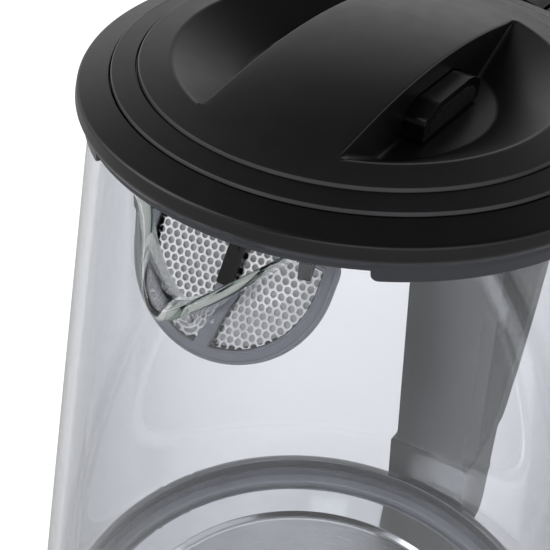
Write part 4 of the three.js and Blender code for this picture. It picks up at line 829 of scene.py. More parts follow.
lid_object = as_object("lid_dome", lid_middle)
for side in (-1, 1):
    reach = sorted((side * (BRIDGE_HALF - 4), side * (BRIDGE_HALF + 1)))
    cut(lid_object, prism(button_outline(0.35), *reach, "x").moved(z=RIM))
show(lid_object, "lid", BLACK, ["lid_top"], smooth=30)
show(as_object("lid_rim", lid_ring), "lid", BLACK, smooth=30)

# Thin rings of a shinier, paler plastic on the outer edges of the lid's two steps, which stand for
# the light that those edges catch.
step_z = dome(LID_STEP_R)
step_edge = rounded([
    (LID_STEP_R - 0.12, step_z), (LID_STEP_R - 0.1, step_z + 0.05, 0.03),
    (LID_STEP_R + 0.12, step_z - 0.02, 0.05), (LID_STEP_R + 0.3, 5.85), (LID_STEP_R + 0.05, 5.8)])
outer_edge = rounded([
    (LID_R - 0.34, COLLAR_SEAM_Z + 0.3), (LID_R - 0.3, COLLAR_SEAM_Z + 0.38, 0.04),
    (LID_R - 0.1, COLLAR_SEAM_Z + 0.3, 0.08), (LID_R + 0.03, COLLAR_SEAM_Z - 0.25),
    (LID_R - 0.2, COLLAR_SEAM_Z - 0.3)])
edges = [lathe([(r, RIM + z) for r, z in line], FINE_ROUND) for line in (step_edge, outer_edge)]
show(as_object("lid_edges", joined(edges)), "lid", EDGE_HIGHLIGHT, smooth=60)

for name, side in (("button_left", -1), ("button_right", 1)):
    face = BRIDGE_HALF + BUTTON_STAND
    stem = prism(button_outline(), BRIDGE_HALF - 3.5, face, "x", 0.18, 0)
    ribs = []
    for level, half in ((1.9, 9.6), (2.6, 10.0), (3.3, 10.0), (4.0, 9.4), (4.7, 8.2), (5.4, 6.2)):
        line = rounded([(-half, level - 0.13, 0.06), (half, level - 0.13, 0.06),
                        (half, level + 0.13, 0.06), (-half, level + 0.13, 0.06)])
        ribs.append(prism(line, face - 0.3, face + 0.2, "x", 0.08, 0))
    whole = joined([stem, *ribs]).moved(z=RIM)
    if side < 0:
        whole = whole.mirrored()
    show(as_object(name, whole), name, BUTTON_BLACK, ["lid_" + name])

# ------------------------------------------------------------------ filter
filter_turn = Matrix.Rotation(math.radians(90 - FILTER_TILT), 4, "X")


def at_filter(solid):
    """From the filter's own plane, where +Y points up the slope and +Z out, to its place."""
    return solid.turned(filter_turn).moved(y=FILTER_CENTRE_Y, z=RIM + FILTER_CENTRE_Z)


def filter_outline(inward, corner):
    """The filter's outline: an oval half round with straight sides up to a straight top."""
    half, drop, top = FILTER_HALF_WIDTH - inward, FILTER_DROP - inward, FILTER_TOP - inward
    turns = [math.radians(180 + 2.5 * k) for k in range(73)]
    line = [(half * math.cos(a), drop * math.sin(a)) for a in turns]
    return rounded([(-half, top, corner), *line, (half, top, corner)], 8)


def filter_ring(profile):
    """A ring whose section is drawn as (distance in from the frame's edge, height)."""
    loops = []
    for inward, z in profile:
        flat = filter_outline(inward, max(0.3, 3.6 - inward))
        loops.append([(x, y, z) for x, y in flat])
    return loft(loops, round_trip=True)


FRONT = 1.1    # front face of the filter's frame
BACK = -0.8
SHEET_Z = -0.3
window_drop = FILTER_DROP - FILTER_BAND
window_top = FILTER_TOP - FILTER_BAND
frame_ring = filter_ring([
    (0.35, BACK), (0.1, BACK + 0.1), (0, BACK + 0.35), (0, FRONT - 0.45), (0.1, FRONT - 0.15),
    (0.4, FRONT), (0.55, FRONT), (0.7, FRONT - 0.2), (0.9, FRONT - 0.25), (2.0, FRONT - 0.25),
    (2.15, FRONT - 0.18), (2.25, FRONT), (2.45, FRONT), (2.65, FRONT - 0.08),
    (2.75, FRONT - 0.3), (2.8, BACK + 0.2), (2.6, BACK)])
# Black pieces of painted shade: a ring along the window's edge where the frame's side wall lies in
# shadow, strips beside the bar, and a cap over the bar's upper part.
shade_ring = filter_ring([
    (2.6, -0.72), (2.6, 0.62), (2.95, 0.62), (2.95, -0.52), (3.5, -0.52), (3.5, -0.72)])


def upright_bar(half, z0, z1, edge):
    line = [(-half, -window_drop - 0.6), (half, -window_drop - 0.6), (half, window_top + 0.6),
            (-half, window_top + 0.6)]
    return prism(line, z0, z1, "z", edge, 0)


front_bar = upright_bar(FILTER_BAR / 2, 0.55, FRONT + 0.1, 0.3)
back_bar = upright_bar(FILTER_BAR / 2, BACK - 0.1, -0.6, 0)
bar_shade = upright_bar(FILTER_BAR / 2 - 0.05, -0.55, 0.6, 0).plus(
    upright_bar(FILTER_BAR / 2 + 0.55, -0.72, -0.52, 0))
cap_line = rounded([(-1.75, -6.5, 0.5), (1.75, -6.5, 0.5), (1.75, window_top + 0.6),
                    (-1.75, window_top + 0.6)])
bar_shade_cap = prism(cap_line, 0.5, FRONT + 0.25, "z", 0.25, 0)
# The ears hang from the collar's lip, and their feet pass under the lid's plug.
EAR_LOW = -9.9
ears = []
for side in (-1, 1):
    inner_r, outer_r = OPENING_R + GAP, LIP_OUTER_R - 0.05
    angles = np.radians(np.linspace(18.5, 21, 5)) * side
    for r, bottom, top in ((inner_r, EAR_LOW, COLLAR_LIP_Z - GAP),
                           (inner_r - 5.5, EAR_LOW, -PLUG_DEPTH - 2 * GAP)):
        foot_line = [(r * math.sin(a), -r * math.cos(a)) for a in angles]
        foot_line += [(outer_r * math.sin(a), -outer_r * math.cos(a)) for a in angles[::-1]]
        ears.append(prism(foot_line, RIM + bottom, RIM + top, "z"))
show(as_object("filter_rim", at_filter(joined([frame_ring, front_bar, back_bar]))), "jug", SLATE,
     ["filter_frame"], smooth=32)
# The painted shade is joined with the real ears in one black object.
painted_shade = at_filter(joined([shade_ring, bar_shade, bar_shade_cap]))
show(as_object("filter_ears_and_shade", joined([painted_shade, *ears])), "jug", BLACK, smooth=32)


def round_rod(radius, length, edge=0.2, sides=SMALL_ROUND):
    """A short upright rod whose upper edge is rounded."""
    return lathe(rounded([(0, 0), (radius, 0), (radius, length, edge), (0, length)]), sides)


peg = round_rod(0.85, 0.25, 0.1).moved(x=-0.1, y=0.9, z=FRONT + 0.15)
show(as_object("filter_peg_dark", at_filter(peg)), "jug", BLACK)
peg = round_rod(0.5, 0.35, 0.2).moved(y=-12.6, z=FRONT)
show(as_object("filter_peg_bright", at_filter(peg)), "jug", SCREW_STEEL)


def in_sheet(x, y):
    """Whether a hole at this place belongs to the sheet; its left edge shows in the window."""
    half, drop = FILTER_HALF_WIDTH - FILTER_BAND + 0.5, window_drop + 0.5
    if y > window_top + 0.6 or x < 0.8 - half or abs(x) > half:
        return False
    return y > 0 or (x / half) ** 2 + (y / drop) ** 2 < 1


def perforated_sheet():
    """A thin sheet of hexagonal cells with a round hole in the middle of each."""
    side_r = HOLE_PITCH / math.sqrt(3)
    sides = 24
    half = SHEET_THICK / 2
    corners, edges = {}, {}
    verts, faces = [], []

    def corner(x, y, z):
        key = (round(x, 3), round(y, 3), z)
        if key not in corners:
            corners[key] = len(verts)
            verts.append((x, y, z))
        return corners[key]

    def cell(cx, cy):
        outside, inside = [], []
        for k in range(sides):
            a = 2 * math.pi * k / sides
            flat = math.cos(math.pi / 6) / math.cos((a + math.pi / 6) % (math.pi / 3) - math.pi / 6)
            outside.append((cx + side_r * flat * math.cos(a), cy + side_r * flat * math.sin(a)))
            inside.append((cx + HOLE_R * math.cos(a), cy + HOLE_R * math.sin(a)))
        high_ones = [corner(x, y, half) for x, y in outside]
        low_ones = [corner(x, y, -half) for x, y in outside]
        first = len(verts)
        verts.extend((x, y, half) for x, y in inside)
        verts.extend((x, y, -half) for x, y in inside)
        for k in range(sides):
            n = (k + 1) % sides
            faces.append((high_ones[k], high_ones[n], first + n, first + k))
            faces.append((low_ones[n], low_ones[k], first + sides + k, first + sides + n))
            faces.append((first + k, first + n, first + sides + n, first + sides + k))
            edges[high_ones[k], high_ones[n]] = (low_ones[k], low_ones[n])

    row_step = HOLE_PITCH * math.sqrt(3) / 2
    askew = math.radians(HOLE_TURN)
    for row in range(-16, 16):
        for column in range(-16, 16):
            x, y = (column + 0.5 * (row % 2)) * HOLE_PITCH, row * row_step
            turned_x = x * math.cos(askew) - y * math.sin(askew)
            turned_y = x * math.sin(askew) + y * math.cos(askew)
            if in_sheet(turned_x, turned_y):
                cell(x, y)
    for (a, b), (c, d) in edges.items():
        if (b, a) not in edges:
            faces.append((b, a, c, d))
    return Solid(verts, faces).turned(Matrix.Rotation(askew, 4, "Z")).moved(z=SHEET_Z)


show(as_object("filter_sheet", at_filter(perforated_sheet())), "jug", SHEET_STEEL,
     ["filter_mesh"], smooth=30)

# A plate behind the sheet, which only gives its holes the grey that they show in the photograph.
gauze_line = rounded([(x, y) for x, y in filter_outline(3.2, 1.0)])
show(as_object("filter_gauze", at_filter(prism(gauze_line, -0.68, -0.56))), "jug", GAUZE)

# ------------------------------------------------------------------ foot of the jug
band = rounded([
    (BAND_R - 1, BAND_LOW), (BAND_R, BAND_LOW, 0.3), (BAND_R, BAND_TOP, 0.9),
    (glass_radius(BAND_TOP) + GAP, BAND_TOP, 0.2),
    (glass_radius(BAND_TOP - 0.8) + GAP, BAND_TOP - 0.8), (BAND_R - 1, BAND_TOP - 0.8)])
WINDOW_HALF = 5.0
WINDOW_LOW = SHELL_LOW + 3.7
WINDOW_TOP = SHELL_TOP - 1.5
window = block((-WINDOW_HALF, WINDOW_HALF), (SHELL_R - 6, BAND_R + 4), (WINDOW_LOW, WINDOW_TOP))
band_object = as_object("steel_band", lathe(band, FINE_ROUND))
cut(band_object, window)
show(band_object, "jug", STEEL, ["base_band"])

upstand = high("glass_seal")[2]
seal_low = low("glass_seal")[2]
glass_inner = glass_radius(GLASS_FOOT) - GLASS_WALL / math.cos(TAPER_ANGLE)
PLATE_R = high("heater_plate")[0]
FLANGE_R = 72.0
DISC_R = 58.0
SEAL_REACH = FLANGE_R + 0.8 + 0.4
LEDGE_TOP = PLATE_TOP + 1.2  # top of the seal's ledge, round the plate
wall_outline = rounded([
    (glass_inner - 2.6, GLASS_FOOT - GAP), (glass_inner - GAP, GLASS_FOOT - GAP),
    (glass_inner - 1.1, upstand, 0.3), (glass_inner - 2.0, upstand, 0.4),
    (glass_inner - 2.2, LEDGE_TOP - 0.4)])
ledge_outline = rounded([
    (SEAL_REACH, seal_low, 0.2), (GLASS_FOOT_R, seal_low, 0.2), (GLASS_FOOT_R, GLASS_FOOT - GAP),
    (glass_inner - 1.4, GLASS_FOOT - GAP), (glass_inner - 1.4, LEDGE_TOP + 0.3),
    (glass_inner - 2.6, LEDGE_TOP + 0.1, 0.3), (SEAL_REACH, LEDGE_TOP - 0.3, 0.6)])
RIB_STEP = 2.0


def wall_section(angle):
    """The seal's wall against the glass; fine upright ribs run round its inner face."""
    ribbed = 0.25 if round(angle / (RIB_STEP / 4)) % 4 == 0 else 0.0
    return [(r - (ribbed if z > LEDGE_TOP and r < glass_inner - 1.5 else 0.0), z)
            for r, z in wall_outline]


show(as_object("seal_wall", round_the_axis(np.arange(-180, 180, RIB_STEP / 4), wall_section)),
     "jug", SILICONE_DARK, ["glass_seal"], smooth=30)
show(as_object("seal_ledge", lathe(ledge_outline, FINE_ROUND)), "jug", SILICONE)

flange_low = low("glass_seal")[2] - GAP
disc_top = PLATE_TOP - 1.0
plate_outline = rounded([
    (0, disc_top), (DISC_R - 0.6, disc_top), (DISC_R, disc_top - 0.25, 0.2),
    (DISC_R + 0.7, disc_top, 0.3), (DISC_R + 2.2, PLATE_TOP, 0.8), (FLANGE_R - 1.6, PLATE_TOP, 1.0),
    (FLANGE_R, PLATE_TOP - 0.9, 0.5), (FLANGE_R + 0.8, flange_low, 0.4),
    (PLATE_R, flange_low), (PLATE_R, flange_low - 0.8), (FLANGE_R, flange_low - 0.8, 0.4),
    (FLANGE_R - 0.8, PLATE_TOP - 1.5, 0.4), (FLANGE_R - 1.8, PLATE_TOP - 0.8, 0.4),
    (DISC_R + 2, PLATE_TOP - 0.8, 0.4), (DISC_R + 0.3, disc_top - 0.8, 0.3), (0, disc_top - 0.8)])
show(as_object("plate_flange", lathe(plate_outline, FINE_ROUND)), "jug", POLISHED,
     ["heater_plate"])
show(as_object("plate_disc", lathe(rounded([
    (0, disc_top + 0.02), (DISC_R - 0.7, disc_top + 0.02, 0.1), (DISC_R - 0.7, disc_top - 0.3),
    (0, disc_top - 0.3)]), FINE_ROUND)), "jug", DISC_STEEL)

CONNECTOR_R = high("jug_connector")[0]
shell_outline = rounded([
    (CONNECTOR_R + GAP, SHELL_LOW, 0.3), (SHELL_R - 0.8, SHELL_LOW, 1.2),
    (SHELL_R, SHELL_LOW + 1.7, 1.0), (SHELL_R, SHELL_TOP, 0.2), (SHELL_R - 2.5, SHELL_TOP, 0.2),
    (SHELL_R - 2.5, SHELL_LOW + 2.5, 0.4), (CONNECTOR_R + GAP, SHELL_LOW + 2.5)])
shell_object = as_object("foot_shell", lathe(shell_outline, FINE_ROUND))
cut(shell_object, window)
SCREW_HEAD_R = 2.9
SCREW_HEAD_HEIGHT = 1.6
for i in (1, 2, 3):
    x, y, _ = centre_of(f"jug_screw_{i}")
    cut(shell_object, round_rod(SCREW_HEAD_R + GAP, 5.0, 0, 24).moved(x, y, SHELL_LOW - 1))
show(shell_object, "jug", BLACK, ["jug_base_shell"], smooth=32)


def screw(length):
    """A pan head below z = 0 and a threaded shank of this length above it."""
    top = -SCREW_HEAD_HEIGHT
    head_line = rounded([(0, top), (SCREW_HEAD_R * 0.6, top, 0.8),
                         (SCREW_HEAD_R, top * 0.45, 0.9), (SCREW_HEAD_R, 0), (0, 0)])
    pitch = 0.6
    thread = [(0, -0.1), (1.1, -0.1)]
    for k in range(int((length - 1.5) / pitch)):
        thread += [(1.05, 0.3 + k * pitch), (1.38, 0.6 + k * pitch)]
    thread += [(0.5, length), (0, length)]
    return lathe(head_line, 24), lathe(thread, 16)


def place_screw(node, body):
    """Puts an upright screw with a cross recess in its head where the CAD node is."""
    x, y, _ = centre_of(node)
    seat = low(node)[2] + SCREW_HEAD_HEIGHT
    head, shank = screw(high(node)[2] - seat)
    obj = as_object(node + "_head", head.moved(x, y, seat))
    for half_x, half_y in ((1.6, 0.3), (0.3, 1.6)):
        slot = block((-half_x, half_x), (-half_y, half_y),
                     (-SCREW_HEAD_HEIGHT - 1, -SCREW_HEAD_HEIGHT + 0.9))
        cut(obj, slot.moved(x, y, seat))
    show(obj, body, SCREW_STEEL, [node])
    show(as_object(node + "_head_shank", shank.moved(x, y, seat)), body, SCREW_STEEL)


# ------------------------------------------------------------------ handle
UPPER_ARM = RIM - 7.0
GRIP_HALF = 9.95  # a hair less than in the CAD, whose coarser curve lies inside this one
GRIP_KNOTS = [
    (COLLAR_R - 8, UPPER_ARM), (COLLAR_R + 24, UPPER_ARM), (COLLAR_R + 51, UPPER_ARM - 6),
    (COLLAR_R + 71, UPPER_ARM - 25), (COLLAR_R + 77, UPPER_ARM - 56),
    (FOOT_Y + 22, FOOT_TOP + 60), (FOOT_Y + 7, FOOT_TOP + 25), (FOOT_Y - 10, FOOT_TOP - 5)]


def grip_path(count):
    """Even points and directions (y, z) along a smooth line through the grip's knots."""
    knots = [np.array(k) for k in GRIP_KNOTS]
    ends = [knots[0], *knots, knots[-1]]
    fine = []
    for p0, p1, p2, p3 in zip(ends, ends[1:], ends[2:], ends[3:]):
        for t in np.linspace(0, 1, 40, endpoint=False):
            a, b = (p2 - p0) / 2, (p3 - p1) / 2
            fine.append((2 * p1 - 2 * p2 + a + b) * t ** 3 + (-3 * p1 + 3 * p2 - 2 * a - b) * t ** 2
                        + a * t + p1)
    fine.append(knots[-1])
    fine = np.array(fine)
    steps = np.linalg.norm(np.diff(fine, axis=0), axis=1)
    length = np.concatenate([[0], np.cumsum(steps)])
    even = np.linspace(0, length[-1], count)
    points = np.stack([np.interp(even, length, fine[:, k]) for k in (0, 1)], axis=1)
    along = np.gradient(points, axis=0)
    along /= np.linalg.norm(along, axis=1)[:, None]
    return points, along


def grip_solid(outline, count=90):
    """A section of (x, outwards) swept along the grip."""
    points, along = grip_path(count)
    sections = []
    for (y, z), (ty, tz) in zip(points, along):
        sections.append([(x, y - d * tz, z + d * ty) for x, d in outline])
    return loft(sections)


CHANNEL = 3.7
PARTING = 0.15
cover_line = rounded([
    (-HANDLE_HALF, PARTING, 0.25), (-CHANNEL, PARTING), (-CHANNEL, CHANNEL), (CHANNEL, CHANNEL),
    (CHANNEL, PARTING), (HANDLE_HALF, PARTING, 0.25), (HANDLE_HALF, GRIP_HALF - 1, 5.5),
    (5, GRIP_HALF, 14), (-5, GRIP_HALF, 14), (-HANDLE_HALF, GRIP_HALF - 1, 5.5)], 7)
frame_line = [(x, -d) for x, d in cover_line][::-1]
skirt_level = RIM + COLLAR_SKIRT_Z - GAP
envelope = lathe([
    (0, SHELL_LOW - 5), (BAND_R + GAP, SHELL_LOW - 5), (BAND_R + GAP, BAND_TOP + GAP),
    (glass_radius(BAND_TOP + GAP) + GAP, BAND_TOP + GAP),
    (glass_radius(skirt_level) + GAP, skirt_level), (COLLAR_R + GAP, skirt_level),
    (COLLAR_R + GAP, RIM + 20), (0, RIM + 20)], FINE_ROUND)
below_foot = block((-30, 30), (0, FOOT_Y + 60), (-10, FOOT_TOP + GAP))
lug_room = block((-HANDLE_HALF + 1.1, HANDLE_HALF - 1.1), (COLLAR_R - 5, COLLAR_R + 15.5),
                 (UPPER_ARM - GAP, RIM + STEAM_SLOT_TOP))
for name, line, node in (("grip_cover", cover_line, "handle_cover"),
                         ("grip_frame", frame_line, "handle_frame")):
    obj = as_object(name, grip_solid(line))
    cut(obj, envelope)
    cut(obj, below_foot)
    if name == "grip_cover":
        cut(obj, lug_room)
    else:
        for side in (-1, 1):
            hole = round_rod(SCREW_HEAD_R + GAP, 12, 0, 32)
            cut(obj, hole.moved(side * 9.4, COLLAR_R + 9, RIM - 20))
    show(obj, "jug", BLACK, [node], smooth=32)

STRIP_HALF = high("handle_strip")[0]
STRIP_LOW, STRIP_TOP = low("handle_strip")[2], high("handle_strip")[2]
STRIP_THICK = 8.0
strip_sections = []
for level in np.linspace(STRIP_LOW, STRIP_TOP, 24):
    r = glass_radius(level) + GAP
    inner = [(x, math.sqrt(r * r - x * x)) for x in np.linspace(STRIP_HALF, -STRIP_HALF, 15)]
    outer_y = r + STRIP_THICK
    outer = rounded([(-STRIP_HALF, inner[-1][1], 0.3), (-STRIP_HALF, outer_y - 0.3, 1.6),
                     (0, outer_y, 0.01), (STRIP_HALF, outer_y - 0.3, 1.6),
                     (STRIP_HALF, inner[0][1], 0.3)])
    strip_sections.append([(x, y, level) for x, y in outer[5:-5] + inner[1:-1]])
show(as_object("grip_strip", loft(strip_sections)), "jug", BLACK,
     ["handle_strip"])

# The switch housing: a rounded block, fitted to the band and the glass.
HOUSING_WALL = 2.5
HOUSING_CORNER = 6.5
HEEL = 9.5      # height over which its foot curves away
TOP_EDGE = 1.2  # radius of its upper edge
foot_sections = []
levels = [FOOT_LOW, FOOT_LOW + 0.3, FOOT_LOW + 1, FOOT_LOW + 2.2, FOOT_LOW + 4, FOOT_LOW + 6.5,
          FOOT_LOW + HEEL, FOOT_TOP - 12, FOOT_TOP - TOP_EDGE, FOOT_TOP - 0.5, FOOT_TOP - 0.12,
          FOOT_TOP]
for level in levels:
    under = max(0.0, 1 - (level - FOOT_LOW) / HEEL)
    back = 9 * (1 - math.sqrt(max(0.0, 1 - under * under)))
    over = max(0.0, (level - (FOOT_TOP - TOP_EDGE)) / TOP_EDGE)
    soft = TOP_EDGE * (1 - math.sqrt(max(0.0, 1 - over * over)))
    half = FOOT_HALF - soft - 0.15 * back
    outer_y = FOOT_Y - back - soft
    line = rounded([(half, 55, 0), (half, outer_y, HOUSING_CORNER),
                    (-half, outer_y, HOUSING_CORNER), (-half, 55, 0)], 8)
    foot_sections.append([(x, y, level) for x, y in line])
foot_object = as_object("switch_housing", loft(foot_sections))
cut(foot_object, envelope)
inside = FOOT_HALF - HOUSING_WALL
cut(foot_object, block((-inside, inside), (BAND_R + 3.2, FOOT_Y - HOUSING_WALL),
                       (SHELL_LOW + 3.7, FOOT_TOP - HOUSING_WALL)))
_, lever_y, lever_z = centre_of("switch_pin")
slot_line = rounded([(lever_z - 7.5, -inside + 1, 1.2), (lever_z + 6, -inside + 1, 1.2),
                     (lever_z + 6, inside - 1, 1.2), (lever_z - 7.5, inside - 1, 1.2)])
cut(foot_object, prism(slot_line, FOOT_Y - 8, FOOT_Y + 1, "y"))
cut(foot_object, window)
show(foot_object, "jug", BLACK, ["handle_foot"], smooth=32)

# The switch's lever: a hub on its pin, a tail that reaches under the trip lever's end, and a
# paddle outside the housing with a few grip ribs along its end.
paddle_half = inside - 1.8
hub_r = high("switch_lever")[2] - lever_z
pin_r = (high("switch_pin")[2] - low("switch_pin")[2]) / 2
tail_end, tail_low = low("switch_lever")[1], low("switch_lever")[2]
TAIL_HALF = 3.8
paddle_line = rounded([
    (lever_y, lever_z - 2), (FOOT_Y - 1, lever_z - 1.5, 4), (PADDLE_END, lever_z - 2.5, 0.8),
    (PADDLE_END, lever_z + 0.5, 1.2), (FOOT_Y - 1, lever_z + 1.5, 4), (lever_y, lever_z + 2)], 5)
tail_line = rounded([
    (tail_end, tail_low, 0.4), (lever_y - 7, tail_low, 2), (lever_y, lever_z - 3),
    (lever_y, lever_z + 2.4), (lever_y - 7, tail_low + 3.2, 2), (tail_end, tail_low + 2, 0.4)], 5)
hub_line = arc((lever_y, lever_z), hub_r, 0, 360, 48)[:-1]
bore_line = arc((lever_y, lever_z), pin_r + GAP, 0, 360, 40)[:-1]
lever_object = as_object("switch_paddle",
                         prism(paddle_line, -paddle_half, paddle_half, "x", 0.5))
cut(lever_object, prism(tail_line, -TAIL_HALF, TAIL_HALF, "x", 0.4), "UNION")
cut(lever_object, prism(hub_line, 0.5 - inside, inside - 0.5, "x", 0.4), "UNION")
cut(lever_object, prism(bore_line, -inside, inside, "x"))
for k in range(3):
    y = PADDLE_END - 2.6 - 2.2 * k
    rib_line = rounded([(y - 0.45, lever_z + 0.2), (y + 0.45, lever_z + 0.2),
                        (y + 0.45, lever_z + 1.45 + 0.2 * k, 0.3),
                        (y - 0.45, lever_z + 1.45 + 0.2 * k, 0.3)])
    cut(lever_object, prism(rib_line, -paddle_half + 2.2, paddle_half - 2.2, "x", 0.3), "UNION")
show(lever_object, "switch", BUTTON_BLACK, ["switch_lever"])

# ------------------------------------------------------------------ power base
LAND_INNER_R = SHELL_R - 20
DISH = BASE_TOP - 2.0
TOWER_R = 24.0
WALL = 2.2
base_outline = rounded([
    (BASE_R - WALL, BASE_LOW, 0.2), (BASE_R, BASE_LOW, 0.6), (BASE_R, BASE_TOP - 2.2, 3.2),
    (BASE_R - 4.0, BASE_TOP, 2.2), (LAND_INNER_R, BASE_TOP, 0.8), (LAND_INNER_R - 2, DISH, 0.8),
    (TOWER_R + GAP, DISH, 0.3), (TOWER_R + GAP, DISH - WALL),
    (LAND_INNER_R - 1.2, DISH - WALL, 0.5), (LAND_INNER_R + 0.8, BASE_TOP - WALL, 0.5),
    (BASE_R - 5.2, BASE_TOP - WALL, 1.0), (BASE_R - WALL, BASE_TOP - 3.8, 1.0)])
base_object = as_object("base_shell", lathe(base_outline, FINE_ROUND))
gland_z = centre_of("cord_gland")[2]
gland_line = arc((gland_z, 0), 4.3, 0, 360, 40)[:-1]
cut(base_object, prism(gland_line, BASE_R - 8, BASE_R + 8, "y"))
show(base_object, "power_base", BLACK, ["base_top_shell"], smooth=32)

GLAND_END = high("cord_gland")[1]
gland_start = low("cord_gland")[1]
gland_profile = [(3.2, gland_start), (4.0, gland_start), (4.0, BASE_R + 0.6)]
for k in range(4):
    y, rib_r = BASE_R + 1.0 + 2.2 * k, 4.0 - 0.12 * k
    gland_profile += [(rib_r, y), (rib_r, y + 1.1), (3.55, y + 1.3), (3.55, y + 2.0)]
gland_profile += [(3.6, GLAND_END - 0.2), (3.5, GLAND_END), (3.2, GLAND_END)]
turn_to_y = Matrix.Rotation(math.radians(-90), 3, "X")
show(as_object("gland_sleeve", lathe(gland_profile, 48).turned(turn_to_y).moved(z=gland_z)),
     "power_base", RUBBER, ["cord_gland"])
pad_top = high("base_foot_1")[2]
pad = lathe(rounded([
    (0, TABLE + 0.25), (3.4, TABLE + 0.25, 0.2), (4.0, TABLE, 0.2), (5.5, TABLE, 0.3),
    (6.0, TABLE + 0.6, 0.3), (6.0, pad_top), (0, pad_top)]), 48)
for i in (1, 2, 3, 4):
    x, y, _ = centre_of(f"base_foot_{i}")
    show(as_object(f"foot_pad_{i}", pad.moved(x, y)), "power_base", RUBBER,
         [f"base_foot_{i}"])

# The connector's tower, with the round slot and the centre hole that its contacts lie in.
tower_low, tower_top = low("base_connector")[2], high("base_connector")[2]
flange_r = high("base_connector")[0]
slot_out = high("base_ring_contact")[0] + GAP
slot_in = high("ring_blade")[0] - 1.7
pin_hole = high("base_pin_contact")[0] + GAP
slot_floor = low("base_ring_contact")[2] - GAP
flange_top = DISH - WALL - GAP
tower_outline = rounded([
    (0, tower_low), (TOWER_R - 4, tower_low, 0.4), (TOWER_R - 4, tower_low + 3),
    (TOWER_R, tower_low + 3), (TOWER_R, flange_top - 2.5), (flange_r, flange_top - 2.5, 0.3),
    (flange_r, flange_top, 0.3),
    (TOWER_R, flange_top), (TOWER_R, tower_top - 1.4, 0.4), (TOWER_R - 1.4, tower_top, 0.9),
    (slot_out + 0.6, tower_top, 0.3), (slot_out, tower_top - 0.6, 0.3), (slot_out, slot_floor),
    (slot_in, slot_floor), (slot_in, tower_top - 0.6, 0.3), (slot_in - 0.6, tower_top, 0.3),
    (pin_hole + 0.8, tower_top, 0.3), (pin_hole, tower_top - 0.8, 0.3), (pin_hole, slot_floor),
    (0, slot_floor)])
show(as_object("tower", lathe(tower_outline, 120)), "power_base", NYLON,
     ["base_connector"], smooth=32)

for body, kind in (("power_base", "base_screw"), ("jug", "jug_screw")):
    for i in (1, 2, 3):
        place_screw(f"{kind}_{i}", body)

# ------------------------------------------------------------------ floor, light and camera
def flat(name, corners, material):
    mesh = bpy.data.meshes.new(name)
    mesh.from_pydata(corners, [], [tuple(range(len(corners)))])
    mesh.materials.append(material)
    obj = bpy.data.objects.new(name, mesh)
    bpy.context.scene.collection.objects.link(obj)
    return obj


# The floor is lit like any other; its glow brings it up to white where it is seen, straight or
# through glass, and partly so where metal and glass mirror it.
FLOOR_GLOW = 0.76
MIRRORED_GLOW = 0.14
floor_look = Look("floor", (0.5, 0.5, 0.5), 0.8)
floor_look.tint(floor_look.noise(3), (0.495, 0.495, 0.495), (0.505, 0.505, 0.505))
floor_look.shader.inputs["Specular IOR Level"].default_value = 0.0
floor_look.shader.inputs["Emission Color"].default_value = (1, 1, 1, 1)
plain_ray, glossy_ray = ray_flags(floor_look.nodes, floor_look.links)
glow = floor_look.math("ADD", floor_look.math("MULTIPLY", plain_ray, FLOOR_GLOW),
                       floor_look.math("MULTIPLY", glossy_ray, MIRRORED_GLOW))
floor_look.links.new(glow, floor_look.shader.inputs["Emission Strength"])
FLOOR_HALF = 6.0  # metres
flat("floor", [(x * FLOOR_HALF, y * FLOOR_HALF, TABLE * MM)
               for x, y in ((-1, -1), (1, -1), (1, 1), (-1, 1))], floor_look.material)


def area(name, place, target, size, power):
    light = bpy.data.lights.new(name, "AREA")
    light.shape = "RECTANGLE"
    light.size, light.size_y = size
    light.energy = power
    obj = bpy.data.objects.new(name, light)
    obj.location = place
    aim = Vector(target) - Vector(place)
    obj.rotation_euler = aim.to_track_quat("-Z", "Y").to_euler()
    bpy.context.scene.collection.objects.link(obj)
    return obj


MIDDLE = (0, 0, 0.14)
area("key", (-1.3, -0.7, 1.6), MIDDLE, (1.3, 1.3), 18)
area("fill", (1.6, -1.0, 1.0), MIDDLE, (1.3, 1.3), 4)
area("front", (0.7, -1.6, 1.0), MIDDLE, (0.6, 0.25), 2.5)

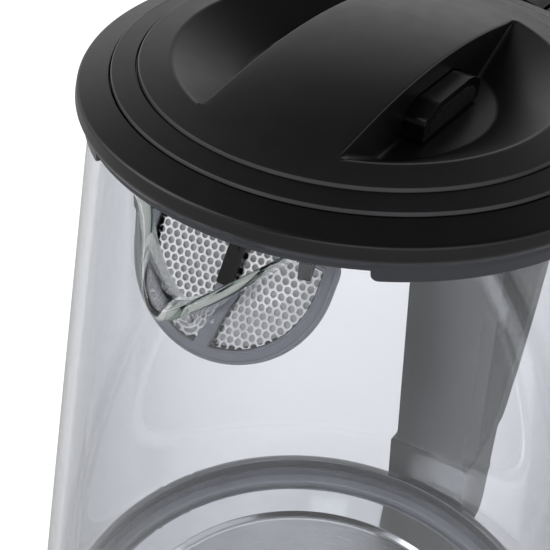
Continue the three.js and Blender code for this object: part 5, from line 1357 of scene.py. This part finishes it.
# The world lights the object evenly. Seen or refracted it is white; mirrored it darkens overhead.
world = bpy.data.worlds.new("studio")
bpy.context.scene.world = world
world.use_nodes = True
sky, wires = world.node_tree.nodes, world.node_tree.links


def background(colour):
    """A background shader; the colour is three numbers or another node's output."""
    made = sky.new("ShaderNodeBackground")
    if isinstance(colour, tuple):
        made.inputs["Color"].default_value = (*colour, 1)
    else:
        wires.new(colour, made.inputs["Color"])
    return made.outputs[0]


plain_ray, glossy_ray = ray_flags(sky, wires)
direction = sky.new("ShaderNodeSeparateXYZ")
wires.new(sky.new("ShaderNodeTexCoord").outputs["Generated"], direction.inputs[0])
darkening = colour_ramp(sky, wires, direction.outputs[2],
                        (0.36, (0.9, 0.9, 0.9)), (0.66, (0.06, 0.06, 0.065)))
unseen = mixed(sky, wires, glossy_ray, background((0.5, 0.5, 0.5)), background(darkening))
whole_sky = mixed(sky, wires, plain_ray, unseen, background((1.0, 1.0, 1.0)))
wires.new(whole_sky, sky["World Output"].inputs["Surface"])

# The camera, solved from the photograph; its place is in radii of the collar.
YAW, PITCH, ROLL, TURN = -0.074, 0.643, 0.064, math.radians(27.5)
ahead = Vector((math.sin(YAW) * math.cos(PITCH), math.cos(YAW) * math.cos(PITCH), -math.sin(PITCH)))
sideways = ahead.cross(Vector((0, 0, 1))).normalized()
upwards = sideways.cross(ahead)
right = math.cos(ROLL) * sideways + math.sin(ROLL) * upwards
top = -math.sin(ROLL) * sideways + math.cos(ROLL) * upwards
axes = Matrix((right, top, -ahead)).transposed().to_4x4()
turn = Matrix.Rotation(TURN, 4, "Z")
EYE = Vector((1.720, -3.304, 1.966)) * COLLAR_R * MM
camera_data = bpy.data.cameras.new("camera")
camera_data.sensor_width = 36
camera_data.lens = 78.26
camera_data.clip_start = 0.01
camera = bpy.data.objects.new("camera", camera_data)
camera.matrix_world = Matrix.Translation(EYE + Vector((0, 0, RIM * MM))) @ (turn @ axes)
bpy.context.scene.collection.objects.link(camera)
bpy.context.scene.camera = camera
bpy.context.scene.view_settings.view_transform = "Standard"
